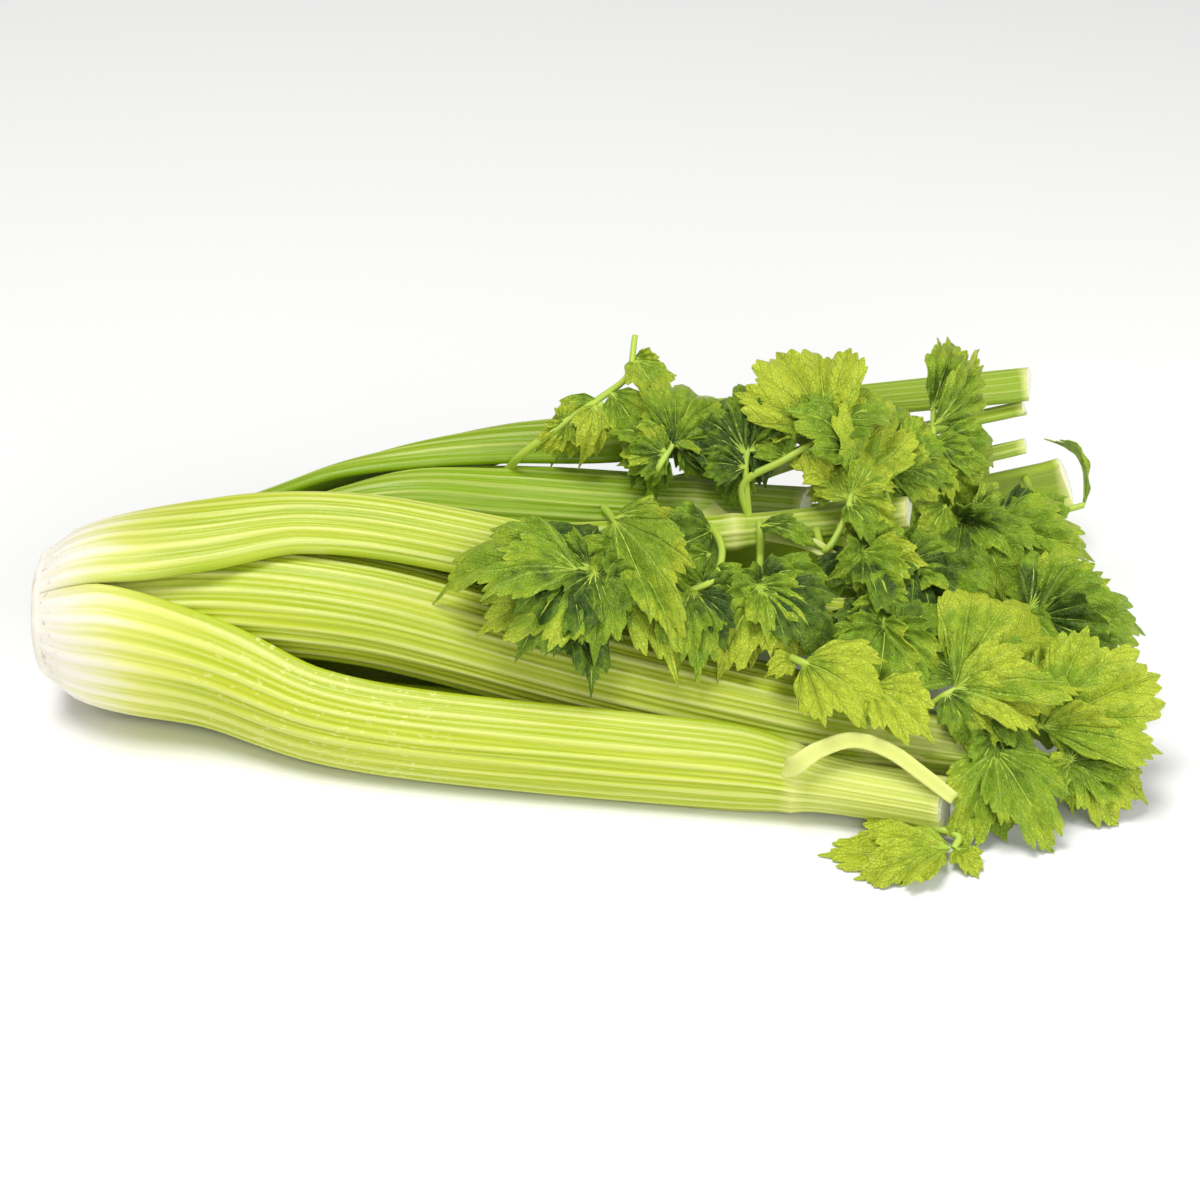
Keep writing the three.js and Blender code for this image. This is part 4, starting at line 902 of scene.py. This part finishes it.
def quads(rows, closed):
    """Faces between each row of point numbers and the next."""
    faces = []
    for one, other in zip(rows, rows[1:]):
        for j in range(len(one) - (not closed)):
            k = (j + 1) % len(one)
            faces.append((one[j], other[j], other[k], one[k]))
    return faces


def turned(faces):
    """The same faces seen from behind."""
    return [(face[0], *face[:0:-1]) for face in faces]


def faced_outwards(obj):
    """Merges doubled points and turns every face of a closed skin outwards."""
    work = bmesh.new()
    work.from_mesh(obj.data)
    bmesh.ops.remove_doubles(work, verts=[v for v in work.verts if v.link_faces], dist=1e-7)
    bmesh.ops.recalc_face_normals(work, faces=work.faces)
    work.to_mesh(obj.data)
    work.free()


def grown(obj, tree, values):
    """Runs the tree on the object with named values, and keeps the result as a plain mesh."""
    modifier = obj.modifiers.new("Growth", "NODES")
    modifier.node_group = tree
    identifiers = {s.name: s.identifier for s in tree.interface.items_tree if s.in_out == "INPUT"}
    for label, value in values.items():
        modifier[identifiers[label]] = value
    graph = bpy.context.evaluated_depsgraph_get()
    plain = bpy.data.meshes.new_from_object(obj.evaluated_get(graph), preserve_all_data_layers=True,
                                            depsgraph=graph)
    obj.modifiers.remove(modifier)
    old = obj.data
    obj.data = plain
    bpy.data.meshes.remove(old)
    if not plain.polygons:
        raise RuntimeError(f"{obj.name} came out empty")
    plain.name = obj.name
    return obj


def attached(obj, node):
    """Fixes the finished piece to the head in place of its solid."""
    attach(obj, "root")
    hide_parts(node)
    return obj


def stalk_keys(stalk):
    """The keys of a stalk's path, radius, half angle and wall along the head."""
    radii, sheath_angle, sheath_wall = SHEATHS[stalk.sheath]
    wide, low, high = stalk.widths
    turn = math.radians(stalk.side)
    end = stalk.points[-1][0]
    below, above = stalk.joint - BEFORE_JOINT, stalk.joint + PAST_JOINT
    free = 2 * math.sin(math.radians(FREE_ANGLE))
    narrow = 2 * math.sin(math.radians(END_ANGLE))
    path = [(x, -r * math.cos(turn), AXIS_HEIGHT + r * math.sin(turn), stalk.side)
            for x, r in zip(SHEATH_X, radii)] + stalk.points
    radius = list(zip(SHEATH_X, radii)) + [
        (OPEN_X, 0.45 * radii[2] + 0.55 * wide / free), (FREE_X, wide / free), (below, low / free),
        (above, high / narrow), (end, 0.94 * high / narrow)]
    angle = [(x, sheath_angle) for x in SHEATH_X] + [
        (OPEN_X, (sheath_angle + FREE_ANGLE) / 2), (FREE_X, FREE_ANGLE), (below, FREE_ANGLE),
        (above, END_ANGLE), (end, END_ANGLE)]
    wall = [(x, share * sheath_wall) for x, share in zip(SHEATH_X, (0.8, 1, 1))] + [
        (FREE_X, WALL), (below, WALL), (above, 0.42 * high), (end, 0.4 * high)]
    return path, radius, angle, wall, end


def stalk_rings(stalk, sizes):
    """Rings of points round a stalk, station by station: its back, an edge, its hollow front, an edge."""
    path, radius, angle, wall, end = stalk_keys(stalk)
    start = SHEATH_X[0]
    stations = np.linspace(start, end, int((end - start) / (sizes.station_spacing / MM)) + 1)
    place, ahead, behind = (along_keys(path, stations + d) for d in (0, 0.5, -0.5))
    ease = smooth_step(stations, EASE_START, EASE_RUN)[:, None]
    run = unit(np.column_stack([np.ones(len(stations)), ahead[:, :2] - behind[:, :2]]))
    run = unit(run * ease + np.array([1, 0, 0]) * (1 - ease))
    facing = np.radians(place[:, 2])
    out = np.column_stack([np.zeros(len(stations)), -np.cos(facing), np.sin(facing)])
    out = unit(out - run * np.sum(out * run, axis=1, keepdims=True))
    across = np.cross(run, out)
    swell = sizes.joint_swelling / MM * bell(stations, stalk.joint, SWELL_RUN)
    r = along_keys(radius, stations)[:, 0]
    half = np.radians(along_keys(angle, stations)[:, 0])
    thick = along_keys(wall, stations)[:, 0]
    centre = np.column_stack([stations, place[:, :2]]) - out * r[:, None]
    edge = thick * EDGE_SHARE
    half = half - 0.3 * edge / r * ease[:, 0]
    q = np.linspace(-1, 1, stalk.ribs * sizes.points_per_rib + 1)

    def arc(angles, distance):
        return (centre[:, None] + out[:, None] * (np.cos(angles) * distance)[..., None]
                + across[:, None] * (np.sin(angles) * distance)[..., None])

    back = arc(q * half[:, None], (r + swell)[:, None] + 0 * q)
    depth = thick[:, None] * (1 - (1 - EDGE_SHARE) * np.abs(q) ** 3)
    front = arc(q * half[:, None] * 0.98, r[:, None] - depth)
    slant = np.clip((stations - end + CUT_RUN) / CUT_RUN, 0, 1)[:, None]
    for arc_points in (back, front):
        lean = (arc_points - centre[:, None] - (out * (r - 0.5 * thick)[:, None])[:, None]) @ CUT_LEAN
        arc_points[..., 0] -= lean * slant**2
        arc_points[..., 2] = np.maximum(arc_points[..., 2], FOOTING)
    lips = []
    for column, sign in ((-1, 1), (0, -1)):
        outer, inner = back[:, column], front[:, column]
        middle, reach = (outer + inner) / 2, (outer - inner) / 2
        beside = across * np.cos(half)[:, None] * sign - out * np.sin(half)[:, None]
        for share in LIP_SHARES:
            turn = share * math.pi
            lips.append(middle + reach * math.cos(turn)
                        + beside * (0.3 * edge)[:, None] * math.sin(turn) * 2)
    return stations, q, back, front, lips[:len(LIP_SHARES)], lips[len(LIP_SHARES):]


def branch_strap(keys):
    """A side branch: a strap with a channel along the side that faces out, closed at both ends."""
    line = path_through([np.add(keys[0], BRANCH_START), *keys[1:]], BRANCH_STEP)
    run = unit(np.gradient(line, axis=0))
    out = unit(BRANCH_FACE - run * (run @ BRANCH_FACE)[:, None])
    beside = np.cross(run, out)
    turn = np.arange(BRANCH_SIDES) * 2 * math.pi / BRANCH_SIDES
    channel = np.clip(np.sin(turn), 0, 1) ** 2
    half = np.interp(np.linspace(0, 1, len(line)), BRANCH_SHARES, BRANCH_HALVES)[:, None]
    rise = half * (0.72 * np.sin(turn) - 0.5 * channel)
    rings = (line[:, None] + beside[:, None] * (half * np.cos(turn))[..., None]
             + out[:, None] * rise[..., None])
    points = np.vstack([rings.reshape(-1, 3), line[:1], line[-1:]])
    n, last = len(turn), (len(line) - 1) * len(turn)
    faces = []
    for j in range(n):
        k = (j + 1) % n
        faces += [(i * n + j, i * n + k, (i + 1) * n + k, (i + 1) * n + j) for i in range(len(line) - 1)]
        faces += [(k, j, last + n), (last + j, last + k, last + n + 1)]
    pale = np.concatenate([np.tile(1 - 0.35 * channel, len(line)), [1, 1]])
    return points, faces, pale


def stalk_object(name, number, stalk, sizes):
    """A stalk's smooth form with capped ends, ready for its ribs."""
    stations, q, back, front, right, left = stalk_rings(stalk, sizes)
    n, lips = len(q), len(LIP_SHARES)
    ring = np.concatenate([back, np.stack(right, 1), front[:, ::-1], np.stack(left[::-1], 1)], axis=1)
    count = ring.shape[1]
    q_ring = np.concatenate([q, np.ones(lips), q[::-1], -np.ones(lips)])
    rib_mask = np.clip((1 - np.abs(q_ring)) / RIB_FADE, 0, 1)
    # Ribs are lower at the root and past the joint, where the skin is paler too.
    past = smooth_step(stations, stalk.joint - 4, 16)
    strength = (0.45 + 0.55 * np.clip((stations - 8) / 50, 0, 1)) * (1 - 0.6 * past)
    # Stalks painted in shade by their tone are less pale past the joint.
    pale = np.maximum(max(0.5 - 2 * stalk.tone, 0.08) * past, 0.7 * bell(stations, stalk.joint, 1.8))
    pale = np.maximum(pale, bell(stations, stations[-1], 1.6))
    kept = []

    def keep(points, *values):
        """Keeps points with their values: along, across, depth, mask, strength and pale."""
        kept.append(np.column_stack([points, *(np.broadcast_to(v, len(points)) for v in values)]))

    keep(ring.reshape(-1, 3), np.repeat(stations * MM, count), np.tile(q_ring, len(stations)), 0,
         np.tile(np.where(np.arange(count) < n, rib_mask, 0), len(stations)), np.repeat(strength, count),
         np.repeat(pale, count))
    at = len(stations) * count
    faces = quads(np.arange(at).reshape(-1, count), True)
    parts = [0] * len(faces)
    for cut in (0, len(stations) - 1):
        first = cut * count
        rows = [first + np.arange(n)]
        for layer in range(lips):
            share = (layer + 1) / (lips + 1)
            keep(back[cut, 1:-1] * (1 - share) + front[cut, 1:-1] * share, stations[cut] * MM, q[1:-1],
                 2 * min(share, 1 - share), rib_mask[1:n - 1] * (1 - share) ** 2, strength[cut], 1)
            rows.append(np.concatenate([[first + 2 * (n + lips) - 1 - layer], at + np.arange(n - 2),
                                        [first + n + layer]]))
            at += n - 2
        rows.append(first + 2 * n + lips - 1 - np.arange(n))
        cap = turned(quads(rows, False))
        faces += cap
        parts += [1] * len(cap)
    if number in BRANCHES:
        strap, strap_faces, strap_pale = branch_strap(BRANCHES[number])
        faces += [tuple(at + i for i in face) for face in strap_faces]
        parts += [0] * len(strap_faces)
        keep(strap, strap[:, 0] * MM, 0, 0, 0, 0, strap_pale)
    table = np.concatenate(kept)
    along, across, _, mask, strength, pale = table[:, 3:].T
    obj = mesh_object(name, placed(table[:, :3]), faces, values={
        "along": along, "across": across, "mask": mask, "strength": strength, "pale": pale,
        "place": table[:, 3:6], "tone": np.full(len(table), float(stalk.tone))})
    obj.data.attributes.new("part", "INT", "FACE").data.foreach_set("value", parts)
    faced_outwards(obj)
    obj.data.shade_smooth()
    # Edges between the skin and a cut end are sharp.
    sharp = obj.data.attributes.new("sharp_edge", "BOOLEAN", "EDGE")
    part_of = {}
    for polygon in obj.data.polygons:
        part = obj.data.attributes["part"].data[polygon.index].value
        for key in polygon.edge_keys:
            part_of.setdefault(key, set()).add(part)
    sharp.data.foreach_set("value", [len(part_of.get(e.key, ())) > 1 for e in obj.data.edges])
    return obj


def reach_at(half, angle):
    """How far the leaflet's outline reaches at an angle from the midrib, along straight runs of keys."""
    angles = np.array([a for a, _ in half], float)
    reaches = np.array([r for _, r in half], float)
    angle = np.abs(angle)
    i = np.clip(np.searchsorted(angles, angle, side="right") - 1, 0, len(angles) - 2)
    a0, a1 = np.radians(angles[i]), np.radians(angles[i + 1])
    t = np.radians(angle)
    r0, r1 = reaches[i], reaches[i + 1]
    return r0 * r1 * np.sin(a1 - a0) / (r1 * np.sin(a1 - t) + r0 * np.sin(t - a0))


def leaflet_sheet(leaf, index, tone, sizes, random, fine=True):
    """The middle surface of a leaflet: points, faces, their places on the blade, and its vein lines."""
    foot, tip, width, face, arch = leaf
    foot, tip, face = (np.asarray(v, float) for v in (foot, tip, face))
    size = np.linalg.norm(tip - foot)
    ahead = (tip - foot) / size
    face = unit(face - ahead * (face @ ahead))
    side = np.cross(face, ahead)
    small = size < SMALL_SIZE
    half = SMALL_HALF if small else LARGE_HALF
    step = VEIN_STEP / (2 if small else 3)
    widest = half[-1][0]
    per_tooth = FINE_RAYS if fine else PLAIN_RAYS
    teeth = int(widest // step)
    rays = np.arange(-teeth * per_tooth, teeth * per_tooth + 1) * step / per_tooth
    rays = np.concatenate([[-widest], rays, [widest]]) if teeth * step < widest else rays
    spots = SMALL_RINGS if small else LARGE_RINGS
    rings = np.linspace(0, 1, spots if fine else PLAIN_RINGS)[1:] ** 0.9
    base = reach_at(half, rays)
    saw = np.abs(((rays / step + 0.5) % 1) * 2 - 1)
    saw[0] = saw[-1] = 0.5
    toothed = base + sizes.tooth_depth * (0.55 - saw ** 1.5) * np.minimum(base, 0.8)
    toothed[[0, -1]] = base[[0, -1]]
    smooth = np.convolve(np.pad(base, MARGIN_SMOOTHING // 2, mode="edge"),
                         np.ones(MARGIN_SMOOTHING) / MARGIN_SMOOTHING, mode="valid")
    t = rings[:, None]
    inner = t * (smooth * (1 - t**2) + toothed * t**2)
    angle = np.radians(rays)
    a = np.concatenate([[0], (inner * np.cos(angle)).ravel()])
    b = np.concatenate([[0], (inner * np.sin(angle) * width).ravel()])
    curl, twist, droop, wave = random.uniform(-1, 1, 4)
    phase = random.uniform(0, 2 * math.pi)

    def lifted(a, b):
        far = np.hypot(a, b)
        turn = np.arctan2(b, a)
        bend = arch * 4 * a * (1 - a) + FOLD * np.abs(b) * (1 - 0.5 * np.abs(b))
        bend += LOBE_WAVE * np.sin(5 * turn + 1.3 * index) * far**2
        bend += sizes.ruffle * np.sin(13 * turn + phase) * far**3
        bend -= sizes.crinkle * np.cos(turn * 360 / VEIN_STEP) * np.minimum(1, 2 * far)
        bend += sizes.crinkle * np.sin(19 * a + phase) * np.sin(17 * b - phase) * np.minimum(1, 2 * far)
        bend += sizes.buckle * (1 + 0.5 * wave) * np.sin(3.3 * turn + 4 * a + phase) * far**1.5
        bend += CURL * curl * b * np.abs(b) + TWIST * twist * a * b
        bend -= (DROOP + DROOP * droop) * np.maximum(a - 0.5, 0) ** 2
        spot = foot + size * (a[:, None] * ahead + b[:, None] * side + bend[:, None] * face)
        spot[:, 2] -= size * (HANG + HANG_SPREAD * droop) * far**2.5
        spot[:, 2] = np.maximum(spot[:, 2], GROUND)
        return spot

    points = lifted(a, b)
    m = len(rays)
    faces = [(0, 1 + j, 2 + j) for j in range(m - 1)]
    faces += quads(1 + np.arange(len(rings) * m).reshape(-1, m), False)
    place = np.column_stack([a, b / width, np.full(len(a), tone)])
    lines = []
    for ray in (0, VEIN_STEP, -VEIN_STEP, 2 * VEIN_STEP, -2 * VEIN_STEP):
        reach = reach_at(half, np.array([ray]))[0] * (0.97 if ray == 0 else 0.88)
        share = np.linspace(0, 1, spots)
        va = share * reach * math.cos(math.radians(ray))
        vb = share * reach * math.sin(math.radians(ray)) * width
        half_thick = MIDRIB_HALF if ray == 0 else VEIN_HALF
        thick = half_thick * (1 - 0.75 * share) * MM * min(1.0, size / 35 + 0.3)
        lines.append((lifted(va, vb), thick))
    return points, faces, place, lines


def under_leaflet(leaf, random):
    """A smaller leaflet that grows beside a large one and a little under it."""
    foot, tip, _, face, _ = leaf
    foot, tip = np.asarray(foot, float), np.asarray(tip, float)
    ahead = tip - foot
    size = np.linalg.norm(ahead)
    face = unit(np.asarray(face, float))
    face = unit(face - unit(ahead) * (face @ unit(ahead)))
    side = np.cross(face, unit(ahead))
    turn = math.radians(random.uniform(30, 100)) * random.choice((-1, 1))
    way = unit(unit(ahead) * math.cos(turn) + side * math.sin(turn) - face * random.uniform(0.0, 0.35))
    start = foot + ahead * random.uniform(0.0, 0.3) - face * random.uniform(1, 5)
    lean = face + side * random.uniform(-0.7, 0.7) + unit(ahead) * random.uniform(-0.4, 0.4)
    reach = max(size * random.uniform(0.5, 0.8), 14)
    return start, start + way * reach, random.uniform(*LOT_WIDTH), lean, random.uniform(*LOT_ARCH)


def leafy_stem_object(name, stem_row, lesser, tendril, lush, sizes, random):
    """A leafy stem's blades as sheets, with its stem and veins as loose lines."""
    tone, stem, leaves = stem_row
    leaves = [(*leaf, USUAL_ARCH)[:5] for leaf in leaves]
    points, faces, edges, place, thick = [], [], [], [], []
    count = 0

    def add_line(line, radii):
        nonlocal count
        points.append(line)
        place.append(np.column_stack([np.zeros((len(line), 2)), np.full(len(line), tone)]))
        thick.append(radii)
        edges.extend((count + i, count + i + 1) for i in range(len(line) - 1))
        count += len(line)

    stem = np.asarray(stem, float)
    line = path_through(np.vstack([stem[0] - ROOTED * unit(stem[1] - stem[0]), stem[1:]]), STEM_STEP)
    add_line(line, np.linspace(sizes.stem_radius, 0.75 * sizes.stem_radius, len(line)))
    if tendril:
        line = path_through(tendril, STEM_STEP)
        add_line(line, np.linspace(0.3, 0.12, len(line)) * sizes.stem_radius)
    # Tones paint light and shade: lesser leaflets and those under the large ones are painted darker on
    # average, as shade, and the lot varies each blade's tone.
    grown_leaves = [(leaf, tone + random.uniform(-0.12, 0.12), True) for leaf in leaves]
    for foot, tip in lesser:
        leaf = (foot, tip, random.uniform(*LOT_WIDTH), LESSER_FACE + random.uniform(-0.45, 0.45, 3),
                random.uniform(*LOT_ARCH))
        grown_leaves.append((leaf, tone + random.uniform(-0.5, 0.3), False))
    for leaf in leaves:
        for _ in range(sizes.understory if lush else 0):
            grown_leaves.append((under_leaflet(leaf, random), tone - random.uniform(-0.1, 0.5), False))
    for index, (leaf, shade, fine) in enumerate(grown_leaves):
        sheet, sheet_faces, sheet_place, lines = leaflet_sheet(
            leaf, index, min(max(shade, 0), 1), sizes, random, fine)
        points.append(sheet)
        place.append(sheet_place)
        thick.append(np.zeros(len(sheet)))
        faces.extend(tuple(count + i for i in face) for face in sheet_faces)
        count += len(sheet)
        for vein, radii in lines:
            add_line(vein, radii)
    return mesh_object(name, placed(np.concatenate(points)), faces, edges, {
        "place": np.concatenate(place), "thick": np.concatenate(thick)})


def crown_object(name, random):
    """The crown's disc, slightly out of round, with the growing point behind it."""
    sides = CROWN_SIDES
    angles = np.arange(sides) * 2 * math.pi / sides
    uneven = sum(random.uniform(0.1, 0.3) * np.sin(k * angles + random.uniform(0, 6)) for k in (3, 5, 8, 13))
    points, rim = [], []
    for r, x in CROWN_PROFILE:
        ring = r + uneven * min(r / CROWN_RADIUS, 1)
        points.append(np.column_stack([np.full(sides, x) + 0.25 * uneven * (x < 0), ring * np.cos(angles),
                                       AXIS_HEIGHT + ring * np.sin(angles)]))
        rim += [RIM_RADII[0] <= r <= RIM_RADII[1] and x < RIM_END] * sides
    faces = turned(quads(np.arange(len(rim)).reshape(-1, sides), True))
    obj = mesh_object(name, placed(np.concatenate(points)), faces, values={"rim": np.array(rim)})
    faced_outwards(obj)
    obj.data.shade_smooth()
    return obj


class CELERY_OT_stage(bpy.types.Operator):
    """Sets the pale floor, the soft light and the camera"""

    bl_idname = "celery.stage"
    bl_label = "Set the Stage"

    def execute(self, context):
        stage = context.scene.celery_stage
        corners = [(x * FLOOR_HALF, y * FLOOR_HALF, 0) for x, y in ((-1, -1), (1, -1), (1, 1), (-1, 1))]
        floor = mesh_object("pale_floor", corners, [(0, 1, 2, 3)])
        floor.data.materials.append(floor_material(stage))
        camera = bpy.data.objects.new("camera", bpy.data.cameras.new("camera"))
        camera.data.lens = stage.lens
        camera.data.sensor_width = SENSOR
        camera.data.clip_end = FAR_CLIP
        tilt = stage.height_angle
        aim = Vector(stage.aim)
        camera.location = aim + stage.distance * Vector((0, -math.cos(tilt), math.sin(tilt)))
        camera.rotation_euler = (math.pi / 2 - tilt, 0, 0)
        context.scene.collection.objects.link(camera)
        context.scene.camera = camera
        for name, place, size, share in LAMPS:
            lamp = bpy.data.objects.new(name, bpy.data.lights.new(name, "AREA"))
            lamp.data.shape = "DISK"
            lamp.data.size = size
            lamp.data.energy = stage.light * share
            lamp.location = place
            lamp.rotation_euler = (aim - Vector(place)).to_track_quat("-Z", "Y").to_euler()
            context.scene.collection.objects.link(lamp)
        world = bpy.data.worlds.new("soft_sky")
        world.use_nodes = True
        backdrop = world.node_tree.nodes["Background"]
        backdrop.inputs["Color"].default_value = (1, 1, 1, 1)
        backdrop.inputs["Strength"].default_value = stage.sky
        context.scene.world = world
        context.scene.view_settings.view_transform = "Standard"
        return {"FINISHED"}


class CELERY_OT_crown(bpy.types.Operator):
    """Builds the crown with its dried rootlet stubs"""

    bl_idname = "celery.crown"
    bl_label = "Build the Crown"

    def execute(self, context):
        sizes, colours = context.scene.celery_sizes, context.scene.celery_colours
        piece = crown_object("celery_crown", np.random.default_rng(CROWN_SEED))
        grown(piece, crown_tree(), {
            "Scar Density": sizes.root_scars / RIM_AREA, "Scar Size": SCAR_SIZE, "Seed": SCAR_SEED,
            "Crown": root_material(colours), "Scar": scar_material(colours)})
        attached(piece, "crown")
        return {"FINISHED"}


class CELERY_OT_stalks(bpy.types.Operator):
    """Builds the twelve ribbed stalks"""

    bl_idname = "celery.stalks"
    bl_label = "Build the Stalks"

    def execute(self, context):
        sizes, colours = context.scene.celery_sizes, context.scene.celery_colours
        tree, skin, flesh = stalk_tree(), skin_material(colours), flesh_material(colours)
        for number, row in STALKS.items():
            stalk = Stalk(*row)
            piece = stalk_object("celery_stalk_" + number, number, stalk, sizes)
            grown(piece, tree, {
                "Rib Count": stalk.ribs, "Rib Depth": sizes.rib_depth, "Rib Sharpness": sizes.rib_sharpness,
                "Lesser Ribs": sizes.lesser_ribs, "Rib Drift": sizes.rib_drift, "Waviness": sizes.waviness,
                "Seed": float(number), "Skin": skin, "Flesh": flesh})
            attached(piece, "stalk_" + number)
        return {"FINISHED"}


class CELERY_OT_leafy_stems(bpy.types.Operator):
    """Builds the leafy stems with their toothed and veined leaflets"""

    bl_idname = "celery.leafy_stems"
    bl_label = "Build the Leafy Stems"

    def execute(self, context):
        sizes, colours = context.scene.celery_sizes, context.scene.celery_colours
        tree, stem = leaf_tree(), stem_material(colours)
        blade = leaf_material("celery_leaf_face", colours, False)
        underside = leaf_material("celery_leaf_underside", colours, True)
        for number, row in LEAFY_STEMS.items():
            piece = leafy_stem_object(
                "celery_leafy_stem_" + number, row, LESSER_LEAFLETS.get(number, ()),
                TENDRILS.get(number), number not in SPARSE, sizes, np.random.default_rng(int(number)))
            grown(piece, tree, {
                "Blade Thickness": sizes.blade_thickness, "Stem Sides": STEM_SIDES, "Blade": blade,
                "Underside": underside, "Stem": stem})
            attached(piece, "leafy_stem_" + number)
        return {"FINISHED"}


class CELERY_PT_head(bpy.types.Panel):
    """Lists the steps that build the head"""

    bl_label = "Head of Celery"
    bl_idname = "CELERY_PT_head"
    bl_space_type = "VIEW_3D"
    bl_region_type = "UI"
    bl_category = "Celery"

    def draw(self, context):
        scene = context.scene
        for settings in (scene.celery_sizes, scene.celery_colours, scene.celery_stage):
            box = self.layout.box()
            for label in settings.bl_rna.properties.keys():
                if label not in ("rna_type", "name"):
                    box.prop(settings, label)
        for operator in OPERATORS:
            self.layout.operator(operator.bl_idname)


GROUPS = (CelerySizes, CeleryColours, CeleryStage)
OPERATORS = (CELERY_OT_stage, CELERY_OT_crown, CELERY_OT_stalks, CELERY_OT_leafy_stems)


def register():
    for one in (*GROUPS, *OPERATORS, CELERY_PT_head):
        bpy.utils.register_class(one)
    bpy.types.Scene.celery_sizes = bpy.props.PointerProperty(type=CelerySizes)
    bpy.types.Scene.celery_colours = bpy.props.PointerProperty(type=CeleryColours)
    bpy.types.Scene.celery_stage = bpy.props.PointerProperty(type=CeleryStage)


def unregister():
    del bpy.types.Scene.celery_stage, bpy.types.Scene.celery_colours, bpy.types.Scene.celery_sizes
    for one in (CELERY_PT_head, *reversed(OPERATORS), *reversed(GROUPS)):
        bpy.utils.unregister_class(one)


def main():
    register()
    bpy.ops.celery.stage()
    bpy.ops.celery.crown()
    bpy.ops.celery.stalks()
    bpy.ops.celery.leafy_stems()
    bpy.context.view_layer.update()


if __name__ == "__main__":
    main()
